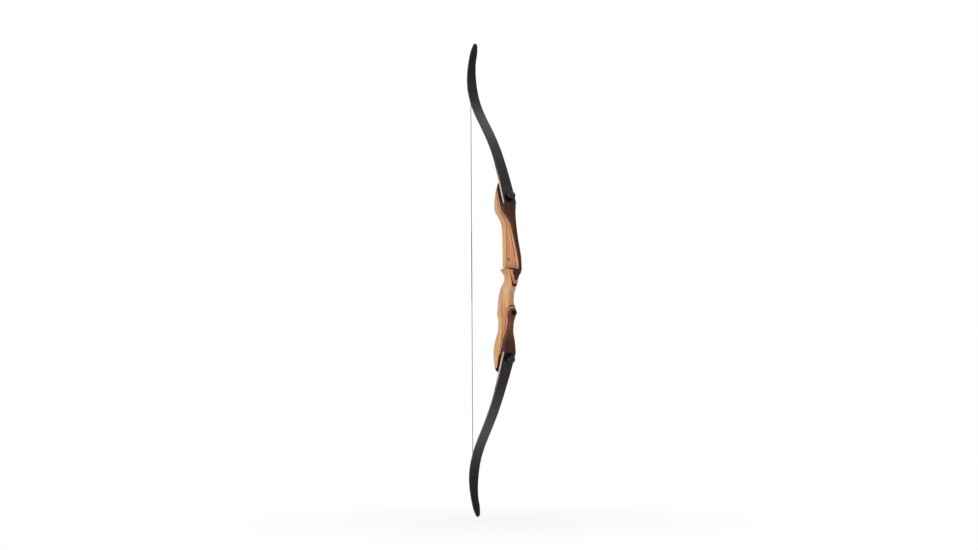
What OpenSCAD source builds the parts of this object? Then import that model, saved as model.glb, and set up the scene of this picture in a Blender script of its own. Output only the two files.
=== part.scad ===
// Takedown recurve bow, braced and at rest.
// X points at the target, Y to the archer's left, Z up the bow.
// The origin is the throat of the grip, where the hand's web sits.

/* [Riser] */
// Height above the throat that the riser's blank reaches
riser_top = 298.5; // [297.5:0.5:301]
// Depth below the throat that the riser's blank reaches
riser_bottom = 301; // [300:0.5:303.5]
// Width of the riser where the limbs seat
pad_width = 44.4; // [42:0.2:46]
// Width of the riser beside the sight window, before the window is cut
body_width = 40; // [37:0.5:42]
// Width of the grip at its throat
throat_width = 29; // [27:0.5:32]
// Width of the grip at the palm swell
palm_width = 34; // [31:0.5:37]
// Width of the waist between the grip and the lower pad
waist_width = 31; // [29:0.5:33]
// Depth of the grip from its throat to the front
grip_depth = 54.6; // [51:0.2:58]
// Reach of the belly edge behind the throat at the window
belly_reach = 28.2; // [25.6:0.2:31]
// Reach of the heel of the grip behind the throat
heel_reach = 36.8; // [34:0.2:39]

/* [Sight window] */
// Height of the arrow shelf above the throat
shelf_z = 27; // [24:1:31]
// How far the window is cut past the bow's centre plane
past_centre = 2; // [0:0.5:3]
// Height at which the flat part of the window ends
window_flat_z = 109; // [98:1:117]
// Height at which the window has run out to the full width
window_end_z = 215; // [210:1:219]
// Front of the riser at the shelf
shelf_front = 61; // [57:0.5:64]

/* [Laminations] */
// Front reach of the red-brown stripe where it bends
stripe_x = 46.5; // [46:0.5:47]
// Height of the bend in the stripes
stripe_z = 20; // [10:1:30]
// Length over which the stripes bend
stripe_bend = 50; // [40:1:60]
// Slope of the stripes above their bend
stripe_slope_up = 0.35; // [0.34:0.01:0.36]
// Slope of the stripes below their bend
stripe_slope_down = 0.28; // [0.28:0.005:0.29]
// Thickness of the red-brown stripe, along X
red_thick = 3; // [2:0.5:3]
// Thickness of the lower pale stripe, along X
pale_thick = 4; // [3:0.5:4]
// Front reach of the pale stripe's front face above the grip
dark_x = 58.5; // [58:0.5:59]
// Height of the bend in that face
dark_z = 34; // [30:1:38]
// Length over which that face bends
dark_bend = 30; // [26:1:34]
// Slope of that face away from its bend
dark_slope = 0.37; // [0.36:0.01:0.38]
// Place of the brown veneer's front face
veneer_x = -1.5; // [-3:0.5:-1]
// Thickness of the brown veneer
veneer_thick = 2; // [1:0.1:2.4]

/* [Limb seats] */
// Height of both limb butts above and below the throat
butt_z = 229; // [227.2:0.2:231]
// Place of the upper pad's face at the butt
upper_pad_x = 14.7; // [13.2:0.5:16.2]
// Place of the lower pad's face at the butt
lower_pad_x = 8.9; // [7.9:0.5:10.9]
// Lean of the upper pad from upright, in degrees
upper_pad_tilt = 21.7; // [20.2:0.5:23.2]
// Lean of the lower pad from upright, in degrees
lower_pad_tilt = 23.6; // [22.1:0.5:25.1]
// Length of each pad that the limb lies on
pad_length = 72; // [70:1:74]
// Thickness of the black wedge in the riser behind each pad
wedge_thick = 12.5; // [11.5:0.5:13.5]
// Thickness of that wedge where the wood in front of the black tip ends
wedge_thin = 11; // [10:0.5:12]
// Length of the riser's black tips
black_tip = 10; // [8:0.5:12]
// Gap between a limb's butt end and the riser's shoulder
butt_gap = 0.3; // [0.2:0.1:0.6]

/* [Limbs] */
// Length of a limb along its middle line
limb_length = 574.5; // [568.5:1:580.5]
// Thickness of a limb at its butt
butt_thick = 9; // [8.4:0.2:9.8]
// Thickness of a limb where its curl starts
mid_thick = 6.6; // [6:0.2:7.4]
// Thickness of a limb at its tip, without the overlay
tip_thick = 5.4; // [5:0.2:6]
// Thickness of the glass on each face
glass_thick = 1; // [0.8:0.1:1.2]
// Width of a limb along its working stretch
mid_width = 35.2; // [33.6:0.2:36.6]
// Width of a limb just inside its nocks
nock_width = 22; // [20:0.5:24]
// Thickness of the tip overlay
overlay_thick = 3; // [2.4:0.2:3.6]
// Lean of the upper limb at its steepest, in degrees
upper_mid_tilt = 39.5; // [38.5:0.25:40.5]
// Lean of the lower limb at its steepest, in degrees
lower_mid_tilt = 36.25; // [35.25:0.25:37.25]
// Lean of the tips, forwards, in degrees
tip_tilt = -22.5; // [-25.5:0.5:-19.5]
// Length of the hardwood wedge inside a limb's butt
butt_wedge_length = 70; // [60:1:71]
// Thickness of that wedge at the butt end
butt_wedge_thick = 3; // [2:0.5:4]

/* [Limb fastening] */
// Distance of the bolt from the limb's butt end
bolt_seat = 18; // [17:0.5:20]
// Diameter of the limb bolt
bolt_d = 8; // [7:0.5:9]
// Outer diameter of the threaded insert
insert_d = 12; // [11.6:0.2:13]
// Length of the threaded insert
insert_length = 20; // [18:0.5:22]
// Depth of the bolt's end in the insert
bolt_grip = 16; // [14:0.5:17]
// Width across the flats of the bolt's head
head_af = 13; // [12.6:0.2:14]
// Height of the bolt's head
head_h = 5.3; // [5:0.1:6]
// Distance of the alignment pin from the limb's butt end
pin_seat = 54; // [50:0.5:56]
// Diameter of the alignment pin
pin_d = 6; // [5:0.5:7]
// Depth of the alignment pin in the riser
pin_depth = 9; // [8:0.5:9.5]
// Diameter of the hand knob
knob_d = 25; // [23:0.5:26]
// Height of the hand knob
knob_h = 19; // [17:0.5:21]
// Number of finger flutes round the knob
knob_flutes = 10; // [8:1:12]
// Diameter of the washer under the knob
washer_d = 32; // [30:0.5:33]
// Thickness of the washer
washer_h = 1.6; // [1.2:0.1:2]

/* [Bushings] */
// Height of the plunger hole above the throat
plunger_z = 56; // [52:0.5:60]
// Place of the plunger hole along the bow's depth
plunger_x = 8.5; // [7.5:0.5:9.5]
// Bore of both accessory bushings
accessory_bore = 7.94; // [7:0.02:8.5]
// Outer diameter of the plunger bushing
plunger_d = 12; // [11:0.5:13]
// Depth of the stabilizer bushing's axis below the throat
boss_z = 110; // [107:0.5:111.5]
// Reach of the boss in front of the throat
boss_reach = 38.5; // [37:0.5:40]
// Outer diameter of the stabilizer bushing's body
boss_d = 12; // [11:0.5:13]
// Diameter of the stabilizer bushing's flange
flange_d = 17; // [16:0.5:18]
// Length of the stabilizer bushing
bushing_length = 24; // [20:0.5:27]

/* [String] */
// Diameter of the bare string
string_d = 2; // [1.8:0.1:2.2]
// Diameter over the centre serving
serving_d = 2.8; // [2.7:0.1:3.1]
// Top of the centre serving
serving_top = 147; // [127:1:157]
// Bottom of the centre serving
serving_bottom = -70; // [-80:1:-60]
// Diameter of the served end loops
loop_d = 2.6; // [2.4:0.1:2.8]
// Distance of the nock grooves from the tip, along the limb
nock_seat = 26; // [25:0.5:28]
// Depth of the nock grooves in the limb's sides
nock_depth = 2.2; // [2:0.1:2.6]

/* [Hidden] */
$fn = 48;

UP = 1;
DOWN = -1;
fit = 0.05;             // running clearance of the bolt in its insert, on the radius
seat_gap = 0.1;         // air between washer, knob and limb
string_gap = 0.15;      // air between the string and the limb that it lies on
bolt_clear = 0.5;       // clearance of the bolt in the limb, on the radius
bend_end = 296;         // where a limb has reached its steepest lean
curl_start = 294;       // where the recurve begins to turn back
curl_end = 592;         // where the recurve would have turned fully
taper_end = 170;        // where a limb has narrowed to its working width
curl_taper_start = 415; // where the recurve begins to narrow
curl_taper_end = 567;   // where it has narrowed to the nock width
nose_length = 42;       // length of the rounded end beyond the shoulder
nose_share = 0.62;      // how much of the width the nose loses
path_step = 5;          // step of the sum along a limb's middle line
far = 400;              // more than any cut needs
loop_stem = 32;         // distance of the loops' join from the nock grooves
carve_z = -50;          // height at which the grip's hollow parts the strips
strip_foot = -24;       // height below which the upper pale and dark strips are carved away
wedge_rise = 9;         // how far the pad wedge's point runs past the butt
wedge_point = 2.5;      // thickness of the pad wedge at its point
tip_flat = 6;           // how far the black tip's end is flat behind the pad
tip_round = 20;         // depth over which that end is rounded
pale_thin = 0.6;        // least thickness of the upper pale stripe
edge_r = 5;             // radius of the sight window's edge on the belly side
window_sweep = 4.3;     // how late the window runs out to the full width
row_step = 12;          // most distance between the riser's sections
knob_edge = 2.2;        // radius of the hand knob's outer edge

function ease(t) = let(c = min(1, max(0, t))) c * c * (3 - 2 * c);
function mix(a, b, t) = a + (b - a) * t;
function between(table, x, col) =
    let(i = max([for (k = [0:len(table) - 2]) table[k][0] <= x ? k : 0]),
        t = (x - table[i][0]) / (table[i + 1][0] - table[i][0]))
    mix(table[i][col], table[i + 1][col], min(1, max(0, t)));

// A limb is described in its own plane, running up from its butt. The lower limb is the
// same limb turned over, with its own leans.
function pad_x(end) = end == UP ? upper_pad_x : lower_pad_x;
function pad_tilt(end) = end == UP ? upper_pad_tilt : lower_pad_tilt;
function mid_tilt(end) = end == UP ? upper_mid_tilt : lower_mid_tilt;
function limb_tilt(end, s) =
    pad_tilt(end)
    + (mid_tilt(end) - pad_tilt(end)) * ease((s - pad_length) / (bend_end - pad_length))
    + (tip_tilt - mid_tilt(end)) * ease((s - curl_start) / (curl_end - curl_start));
function forward(end, s) = [cos(limb_tilt(end, s)), sin(limb_tilt(end, s))];
function limb_thick(s) =
    s < curl_start ? mix(butt_thick, mid_thick, ease((s - pad_length) / (curl_start - pad_length)))
    : mix(mid_thick, tip_thick, ease((s - curl_start) / (curl_taper_start - curl_start)));
function limb_half_width(s) =
    let(body = mix(pad_width / 2, mid_width / 2, ease(s / taper_end)),
        curl = mix(0, (mid_width - nock_width) / 2,
                   ease((s - curl_taper_start) / (curl_taper_end - curl_taper_start))),
        nose = max(0, (s - limb_length + nose_length) / nose_length))
    (body - curl) * (1 - nose_share * pow(nose, 2.2));

// The middle line is summed from the lean in short steps, and read between them.
function middle_line(end) =
    let(start = [pad_x(end), butt_z] + forward(end, 0) * butt_thick / 2)
    [for (s = 0, p = start; s <= limb_length + path_step;
          p = p + path_step * [-sin(limb_tilt(end, s + path_step / 2)),
                               cos(limb_tilt(end, s + path_step / 2))],
          s = s + path_step) p];
upper_line = middle_line(UP);
lower_line = middle_line(DOWN);
function line_of(end) = end == UP ? upper_line : lower_line;
function middle(end, s) =
    let(line = line_of(end), i = floor(s / path_step), t = s / path_step - i)
    mix(line[i], line[i + 1], t);
function at_limb(end, s, out) = middle(end, s) + out * forward(end, s);
function belly_out(s) = -limb_thick(s) / 2;
function front_out(s) = limb_thick(s) / 2;
function overlay_out(s) =
    front_out(s) + overlay_thick * max(0.12, ease((s - limb_length + 62) / 24));

pad_step = pad_length / 3;
limb_stations = concat(
    [for (i = [0:2]) i * pad_step],
    [for (i = [0:14]) mix(pad_length, bend_end, i / 15)],
    [for (i = [0:19]) mix(bend_end, limb_length - nose_length, i / 20)],
    [for (i = [0:7]) mix(limb_length - nose_length, limb_length, i / 7)]);
overlay_stations = [for (s = limb_stations) if (s > limb_length - 66) s];

// Closed skin through rings of points that have the same count, with flat ends.
module skin(rings) {
    n = len(rings[0]);
    m = len(rings);
    points = [for (r = rings) each r];
    sides = [for (j = [0:m - 2], i = [0:n - 1]) each
        [[j * n + i, j * n + (i + 1) % n, (j + 1) * n + i],
         [j * n + (i + 1) % n, (j + 1) * n + (i + 1) % n, (j + 1) * n + i]]];
    first = [for (i = [1:n - 2]) [0, i + 1, i]];
    last = [for (i = [1:n - 2]) [(m - 1) * n, (m - 1) * n + i, (m - 1) * n + i + 1]];
    polyhedron(points = points, faces = concat(sides, first, last), convexity = 6);
}

function flat_ring(end, s, out_a, out_b) =
    let(a = at_limb(end, s, out_a), b = at_limb(end, s, out_b), w = limb_half_width(s))
    [[b[0], -w, b[1]], [a[0], -w, a[1]], [a[0], w, a[1]], [b[0], w, b[1]]];

module turned(end) {
    if (end == UP) children();
    else mirror([0, 0, 1]) children();
}

// Pad frame: X out of the pad, Z along the limb, origin at the butt on the pad's face.
module on_pad(end) {
    turned(end) translate([pad_x(end), 0, butt_z]) rotate([0, -pad_tilt(end), 0]) children();
}

module drill(d, from, to) {
    translate([from, 0, 0]) rotate([0, 90, 0]) cylinder(d = d, h = to - from);
}

// Holes in the riser for a limb's insert and pin, open into the limb's pocket.
module seat_holes(end) {
    on_pad(end) {
        translate([0, 0, bolt_seat]) drill(insert_d, -insert_length, 1);
        translate([0, 0, pin_seat]) drill(pin_d, -pin_depth, 1);
    }
}

// Holes in a limb for the bolt and, short of its front glass, for the pin.
module limb_holes(end, with_pin) {
    on_pad(end) {
        translate([0, 0, bolt_seat]) drill(bolt_d + 2 * bolt_clear, -1, far / 8);
        if (with_pin) translate([0, 0, pin_seat])
            drill(pin_d + 2 * seat_gap, -1, butt_thick - glass_thick);
    }
}

module nock_grooves(end) {
    s = limb_length - nock_seat;
    p = middle(end, s);
    w = limb_half_width(s);
    groove_r = loop_d / 2 + 0.5;
    turned(end) translate([p[0], 0, p[1]]) rotate([0, -limb_tilt(end, s), 0])
        for (side = [-1, 1])
            translate([0, side * (w + groove_r - nock_depth), 0])
                drill(2 * groove_r, -far / 20, far / 20);
}

module limb_layer(end, name) {
    difference() {
        turned(end) skin([for (s = limb_stations) flat_ring(end, s,
            name == "front" ? front_out(s) - glass_thick
                : name == "core" ? belly_out(s) + glass_thick : belly_out(s),
            name == "front" ? front_out(s)
                : name == "core" ? front_out(s) - glass_thick : belly_out(s) + glass_thick)]);
        limb_holes(end, name != "front");
        nock_grooves(end);
        if (name == "core") butt_wedge_shape(end);
    }
}

module butt_wedge_shape(end) {
    half_t = butt_wedge_thick / 2 * (1 + pad_width / 4 / butt_wedge_length);
    on_pad(end) translate([butt_thick / 2, pad_width / 2, 0]) rotate([90, 0, 0])
        linear_extrude(pad_width)
            polygon([[0, butt_wedge_length], [-half_t, -pad_width / 4],
                     [half_t, -pad_width / 4]]);
}

module limb_butt_wedge(end) {
    color("saddlebrown") difference() {
        intersection() {
            butt_wedge_shape(end);
            turned(end) skin([for (s = limb_stations) if (s <= 2 * pad_length)
                flat_ring(end, s, belly_out(s) + glass_thick, front_out(s) - glass_thick)]);
        }
        limb_holes(end, true);
    }
}

module tip_overlay(end) {
    color("black") difference() {
        turned(end) skin([for (s = overlay_stations)
            flat_ring(end, s, front_out(s), overlay_out(s))]);
        nock_grooves(end);
    }
}

// The riser's form: one row a station of height, belly, front, half width, belly corner
// radius, front corner radius. Between the rows it is read smoothly and without overshoot.
half_pad = pad_width / 2;
half_body = body_width / 2;
half_waist = waist_width / 2;
half_palm = palm_width / 2;
half_throat = throat_width / 2;
grip_rows = [
    [-riser_bottom, -31, 20, half_pad - 4, 9, 3],
    [-293, -37.4, 20, half_pad - 2.2, 9, 3],
    [-281, -41, 20, half_pad - 1.2, 8, 3],
    [-264, -44.6, 20, half_pad - 0.4, 7, 3],
    [-238, -47, 19, half_pad, 6, 3],
    [-220, -46.2, 18.2, half_pad - 0.6, 6, 4],
    [-200, -41.8, 17.8, half_pad - 1.4, 8, 6],
    [-182, -36.8, 17.5, mix(half_waist, half_pad, 0.45), 9, 8],
    [-165, -32.8, 20, half_waist, 9, 10],
    [-151, -31.2, 22.5, half_waist - 0.2, 9, 11],
    [-135, -30.6, 26, half_waist + 0.5, 10, 12],
    [-126, -32, 28.6, half_palm + 0.2, 11, 12],
    [-boss_z - 8.7, -heel_reach + 1, boss_reach - 4.9, half_palm + 0.4, 12, 12],
    [-boss_z - 3.7, -heel_reach, boss_reach - 1.1, half_palm + 0.2, 12, 11],
    [-boss_z, -heel_reach, boss_reach, half_palm, 12, 10],
    [-boss_z + 4.8, -heel_reach + 0.6, boss_reach - 1.1, half_palm, 12, 11],
    [-boss_z + 11.8, -heel_reach + 1.6, boss_reach - 5.3, half_palm, 12, 12],
    [-88, -34.3, 28.8, half_palm - 0.3, 13, 13],
    [-79, -33.6, 24.6, half_palm - 0.6, 13, 13],
    [-70, -32.8, 24, half_palm - 1, 13, 13],
    [-60.5, -31.2, 25, half_palm - 1.2, 13, 13],
    [-50.5, -28.4, 27.8, half_palm - 1.5, 13, 13],
    [-41.5, -24.6, 32.6, half_throat + 0.8, 13, 13],
    [-32.5, -19.6, 38.6, half_throat + 0.4, 13, 13],
    [-23, -12.4, grip_depth - 10.2, half_throat + 0.2, 13, 13],
    [-14, -4.6, grip_depth - 6.6, half_throat, 13, 12],
    [-5, -0.5, grip_depth - 2.6, half_throat + 0.1, 13, 12],
    [2.7, 0, grip_depth, half_throat + 0.6, 12, 12],
    [9.5, -4, grip_depth + 3, half_throat + 1.4, 12, 11],
    [16.5, -10, shelf_front - 0.8, half_throat + 2.6, 13, 10],
    [22.5, -15.4, shelf_front - 0.2, half_body - 2.4, 15, 10]];
shelf_row = [shelf_z, -belly_reach + 8.8, shelf_front, half_body - 0.8, 16, 10];
window_rows = [
    [34, -belly_reach + 2.4, shelf_front - 0.4, half_body - 0.2, 12, 9.5],
    [44, -belly_reach, shelf_front - 1.4, half_body, 8, 9],
    [61, -belly_reach, 57.2, half_body, 6.5, 8],
    [80, -belly_reach + 0.2, 52.8, half_body, 5.5, 8],
    [97, -belly_reach, 47.6, half_body, 5, 8],
    [116, -belly_reach - 0.2, 42, half_body + 0.2, 5, 8],
    [135, -29.2, 36.9, half_body + 0.5, 5, 8],
    [154, -31, 32.6, half_body + 0.9, 5, 8],
    [173, -33.2, 28, half_body + 1.3, 6, 7],
    [192, -35, 24.2, half_pad - 0.4, 6, 6],
    [208, -36.2, 22.8, half_pad, 6, 5],
    [butt_z - 2, -37.6, 23.2, half_pad, 6, 3],
    [243, -37.4, 24, half_pad - 0.1, 7, 3],
    [257, -35.4, 24, half_pad - 0.5, 8, 3],
    [271, -32.2, 24, half_pad - 1.2, 9, 3],
    [285, -28, 24, half_pad - 2.4, 10, 3],
    [riser_top, -22.6, 24, half_pad - 4, 10, 3]];
riser_rows = concat(grip_rows, [shelf_row], window_rows);
shelf_i = len(grip_rows);

function rise(i, c) =
    (riser_rows[i + 1][c] - riser_rows[i][c]) / (riser_rows[i + 1][0] - riser_rows[i][0]);
function slope(i, c) =
    i == 0 ? rise(0, c) : i == len(riser_rows) - 1 ? rise(i - 1, c)
    : let(a = rise(i - 1, c), b = rise(i, c),
          h = riser_rows[i][0] - riser_rows[i - 1][0], k = riser_rows[i + 1][0] - riser_rows[i][0])
      a * b <= 0 ? 0 : 3 * (h + k) / ((2 * k + h) / a + (k + 2 * h) / b);
function smooth(i, u, c) =
    let(h = riser_rows[i + 1][0] - riser_rows[i][0], v = 1 - u)
    v * v * (1 + 2 * u) * riser_rows[i][c] + v * v * u * h * slope(i, c)
    + u * u * (3 - 2 * u) * riser_rows[i + 1][c] - u * u * v * h * slope(i + 1, c);
function stations(first, last) = concat(
    [for (i = [first:last - 1])
        let(n = ceil((riser_rows[i + 1][0] - riser_rows[i][0]) / row_step))
        for (j = [0:n - 1])
            concat([mix(riser_rows[i][0], riser_rows[i + 1][0], j / n)],
                   [for (c = [1:5]) smooth(i, j / n, c)])],
    [riser_rows[last]]);

// The right side above the shelf: the window's flat, then its run-out to the full width.
function window_side(z, half) =
    let(t = ease((z - window_flat_z) / (window_end_z - window_flat_z)))
    min(half, mix(-past_centre, half_pad + 1, pow(t, window_sweep)));
// How much of the window's own edges the right side's corners have.
function edged(z) = 1 - ease((z - window_flat_z - 40) / 50);

corner_steps = 5;
function corner(x, y, r, from) =
    [for (i = [0:corner_steps]) let(a = from + 90 * i / corner_steps) [x + r * cos(a), y + r * sin(a)]];
// Radii run front left, belly left, belly right, front right.
function section(z, belly, front, right, left, radii) =
    let(wide = (left + right) / 2 - 0.05, r = [for (v = radii) min(v, wide)],
        outline = concat(
            corner(front - r[0], left - r[0], r[0], 0), corner(belly + r[1], left - r[1], r[1], 90),
            corner(belly + r[2], -right + r[2], r[2], 180),
            corner(front - r[3], -right + r[3], r[3], 270)))
    [for (i = [len(outline) - 1:-1:0]) [outline[i][0], outline[i][1], z]];

module riser_form() {
    skin([for (r = stations(0, shelf_i)) section(r[0], r[1], r[2], r[3], r[3], [r[5], r[4], r[4], r[5]])]);
    skin([for (r = stations(shelf_i, len(riser_rows) - 1)) let(e = edged(r[0]))
        section(r[0], r[1], r[2], window_side(r[0], r[3]), r[3],
                [r[5], r[4], mix(r[4], edge_r, e), mix(r[5], edge_r + 2, e)])]);
}

// Side-view regions, drawn with X across and Z up and given the riser's whole width.
module slab(points) {
    translate([0, far / 4, 0]) rotate([90, 0, 0]) linear_extrude(far / 2) polygon(points);
}

heights_foot = [for (i = [0:14]) mix(strip_foot, riser_top + 8, i / 14)];
heights_up = concat([carve_z, (carve_z + strip_foot) / 2], heights_foot);
heights_down = [for (i = [0:8]) mix(-riser_bottom - 8, carve_z, i / 8)];
heights_all = concat(heights_down, [for (z = heights_up) if (z > carve_z) z]);
function bent(z, x, at, bend, above, below) =
    x - (z > at ? above : below) * (norm([z - at, bend]) - bend);
function stripe_back(z) =
    bent(z, stripe_x, stripe_z, stripe_bend, stripe_slope_up, stripe_slope_down);
function red_front(z) = stripe_back(z) + red_thick;
function dark_back(end, z) =
    end == DOWN ? red_front(z) + pale_thick
    : max(red_front(z) + pale_thin, bent(z, dark_x, dark_z, dark_bend, dark_slope, dark_slope));
// The strip of the riser between two curves that are given at the same heights.
module strip(heights, back, front) {
    n = len(heights);
    slab(concat([for (i = [0:n - 1]) [back[i], heights[i]]],
                [for (i = [n - 1:-1:0]) [front[i], heights[i]]]));
}

// The blocks behind the stripes, between two planes across the bow.
module block(low, high, from, to) {
    intersection() {
        slab([[from, low], [to, low], [to, high], [from, high]]);
        slab(concat([for (z = heights_all) [stripe_back(z), z]],
                    [[-far, riser_top + 8], [-far, -riser_bottom - 8]]));
    }
}
module belly_strip(end, from, to) {
    block(end == UP ? 0 : -far, end == UP ? far : 0, from, to);
}

// What the limb seat takes off the riser: everything in front of the pad and past the butt.
module limb_pocket(end) {
    on_pad(end) translate([0, -far / 4, -butt_gap]) cube([far / 4, far / 2, far / 2]);
}

// The black wedge behind the pad is pointed past the butt and thickest a third of the way
// along. At the riser's end all is black and rounded, and the wood stops short of it.
wood_end = pad_length - black_tip;
wedge_edge = [for (i = [0:8]) let(t = i / 8, base = mix(wedge_point, wedge_thin, t))
    [-base - (wedge_thick - mix(wedge_point, wedge_thin, 0.4)) * sin(180 * pow(t, 0.75)),
     mix(-wedge_rise, wood_end, t)]];
black_end = [for (a = [90:-15:0])
    [-tip_flat - tip_round * sin(a), pad_length - (black_tip - 1) * (1 - cos(a))]];
module beside_pad(end, points) {
    on_pad(end) translate([0, far / 4, 0]) rotate([90, 0, 0]) linear_extrude(far / 2)
        polygon(concat([[2, wedge_rise / 2]], wedge_edge, points));
}
module wedge_shape(end) {
    beside_pad(end, concat([[-far / 4, wood_end], [-far / 4, wood_end + 1]], black_end,
                           [[2, pad_length]]));
}
module no_wood(end) {
    beside_pad(end, [[-far / 4, wood_end], [-far / 4, far / 2], [2, far / 2]]);
}

module riser_holes() {
    seat_holes(UP);
    seat_holes(DOWN);
    translate([plunger_x, 0, plunger_z]) rotate([90, 0, 0])
        cylinder(d = plunger_d, h = far / 4, center = true);
    translate([0, 0, -boss_z]) {
        drill(boss_d, boss_reach - bushing_length, far / 4);
        drill(flange_d, boss_reach - 1, far / 4);
    }
}

module carved() {
    difference() {
        intersection() {
            riser_form();
            children();
        }
        limb_pocket(UP);
        limb_pocket(DOWN);
        no_wood(UP);
        no_wood(DOWN);
        riser_holes();
    }
}

module riser_core_block() {
    color("burlywood") carved() block(-far, far, veneer_x, far);
}
module riser_belly_block(end) {
    color("burlywood") carved() belly_strip(end, -far, veneer_x - veneer_thick);
}
module riser_veneer(end) {
    color("sienna") carved() belly_strip(end, veneer_x - veneer_thick, veneer_x);
}
module riser_red_stripe(end) {
    z = end == UP ? heights_up : heights_down;
    color("brown") carved() strip(z, [for (v = z) stripe_back(v)], [for (v = z) red_front(v)]);
}
module riser_pale_stripe(end) {
    z = end == UP ? heights_foot : heights_down;
    color("tan") carved() strip(z, [for (v = z) red_front(v)], [for (v = z) dark_back(end, v)]);
}
module riser_front_block(end) {
    z = end == UP ? heights_foot : heights_down;
    color("saddlebrown") carved() strip(z, [for (v = z) dark_back(end, v)], [for (v = z) far / 2]);
}
module pad_wedge(end) {
    color("black") difference() {
        intersection() {
            riser_form();
            wedge_shape(end);
        }
        limb_pocket(end);
        seat_holes(end);
    }
}

// Fastening of one limb, along the bolt's axis.
module on_bolt(end) { on_pad(end) translate([0, 0, bolt_seat]) children(); }
washer_at = butt_thick + seat_gap;
knob_at = washer_at + washer_h + seat_gap;
head_at = knob_at + 7;

module limb_insert(end) {
    color("gold") on_bolt(end) difference() {
        drill(insert_d, -insert_length, 0);
        drill(bolt_d + 2 * fit, -insert_length - 1, 1);
    }
}

module alignment_pin(end) {
    color("silver") on_pad(end) translate([0, 0, pin_seat]) {
        drill(pin_d, -pin_depth, butt_thick - glass_thick - 1);
        drill(pin_d - 1, butt_thick - glass_thick - 1, butt_thick - glass_thick - 0.5);
    }
}

module limb_washer(end) {
    color("dimgray") on_bolt(end) translate([washer_at, 0, 0]) rotate([0, 90, 0]) difference() {
        rotate_extrude() polygon([[0, 0], [washer_d / 2, 0], [washer_d / 2, washer_h - 0.5],
                                  [washer_d / 2 - 0.5, washer_h], [0, washer_h]]);
        translate([0, 0, -1]) cylinder(d = bolt_d + 2 * bolt_clear, h = washer_h + 2);
    }
}

module bolt_shape(end, clear) {
    on_bolt(end) {
        drill(bolt_d + 2 * clear, -bolt_grip, head_at + 1);
        translate([head_at, 0, 0]) rotate([0, 90, 0])
            cylinder(d = head_af / cos(30), h = head_h, $fn = 6);
    }
}

module limb_bolt(end) {
    color("silver") bolt_shape(end, 0);
}

module limb_knob(end) {
    r = knob_d / 2;
    flute_r = 3.2;
    color("black") difference() {
        on_bolt(end) translate([knob_at, 0, 0]) rotate([0, 90, 0]) difference() {
            rotate_extrude() polygon(concat(
                [[0, 0], [r - 3, 0], [r - 2, 1], [r - 2, 2.5], [r, 4], [r, knob_h - 1 - knob_edge]],
                [for (a = [15:15:75]) [r - knob_edge * (1 - cos(a)),
                                       knob_h - 1 - knob_edge * (1 - sin(a))]],
                [[r - 5, knob_h - 1], [0, knob_h]]));
            for (i = [0:knob_flutes - 1]) rotate([0, 0, 360 * i / knob_flutes])
                translate([r + flute_r - 1.2, 0, 2]) cylinder(r = flute_r, h = knob_h);
        }
        bolt_shape(end, 0);
    }
}

module plunger_bushing() {
    color("goldenrod") translate([plunger_x, half_body, plunger_z]) rotate([90, 0, 0])
        difference() {
            cylinder(d = plunger_d, h = half_body - past_centre);
            translate([0, 0, -1]) cylinder(d = accessory_bore, h = half_body + 2);
        }
}

module stabilizer_bushing() {
    color("dimgray") translate([0, 0, -boss_z]) difference() {
        union() {
            drill(boss_d, boss_reach - bushing_length, boss_reach);
            drill(flange_d, boss_reach - 1, boss_reach + 0.8);
        }
        drill(accessory_bore, boss_reach - bushing_length + 3, boss_reach + 5);
    }
}

// String. It lies on each recurve's belly from where the belly is nearest the archer.
function belly_line(end, s, r) = at_limb(end, s, belly_out(s) - string_gap - r);
function nearest(end) =
    let(reach = [for (s = [curl_taper_start:path_step:limb_length - nose_length])
                 [belly_line(end, s, string_d / 2)[0], s]],
        best = min([for (p = reach) p[0]]))
    [for (p = reach) if (p[0] == best) p[1]][0];
upper_touch = nearest(UP);
lower_touch = nearest(DOWN);
function touch(end) = end == UP ? upper_touch : lower_touch;
function world(end, p, y) = [p[0], y, end * p[1]];
join_s = limb_length - nock_seat - loop_stem;

function string_end(end) =
    [for (i = [0:8]) let(s = mix(touch(end), join_s, i / 8))
        world(end, belly_line(end, s, string_d / 2), 0)];

// A tube's rings are carried along its path without twist.
function unit(v) = v / norm(v);
function tangents(path) =
    [for (i = [0:len(path) - 1])
        unit(path[min(i + 1, len(path) - 1)] - path[max(i - 1, 0)])];
function carried(ts, start) =
    [for (i = 0, u = unit(start - (start * ts[0]) * ts[0]); i < len(ts);
          i = i + 1, u = i < len(ts) ? unit(u - (u * ts[i]) * ts[i]) : u) u];
module tube(path, radii, start, sides = 8) {
    ts = tangents(path);
    us = carried(ts, start);
    skin([for (i = [0:len(path) - 1]) let(v = cross(ts[i], us[i]))
        [for (k = [sides - 1:-1:0]) let(a = 360 * (k + 0.5) / sides)
            path[i] + radii[i] * (cos(a) * us[i] + sin(a) * v)]]);
}

module bowstring() {
    low = string_end(DOWN);
    path = concat([for (i = [len(low) - 1:-1:0]) low[i]], string_end(UP));
    color("dimgray") tube(path, [for (p = path) string_d / 2], [1, 0, 0]);
}

module center_serving() {
    a = string_end(DOWN)[0];
    b = string_end(UP)[0];
    along = unit(b - a);
    lean = atan2(along[0], along[2]);
    foot = a + along * (serving_bottom - a[2]) / along[2];
    color("black") translate(foot) rotate([0, lean, 0]) difference() {
        cylinder(d = serving_d, h = serving_top - serving_bottom);
        translate([0, 0, -1]) cylinder(d = string_d + 2 * fit, h = far);
    }
}

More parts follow.
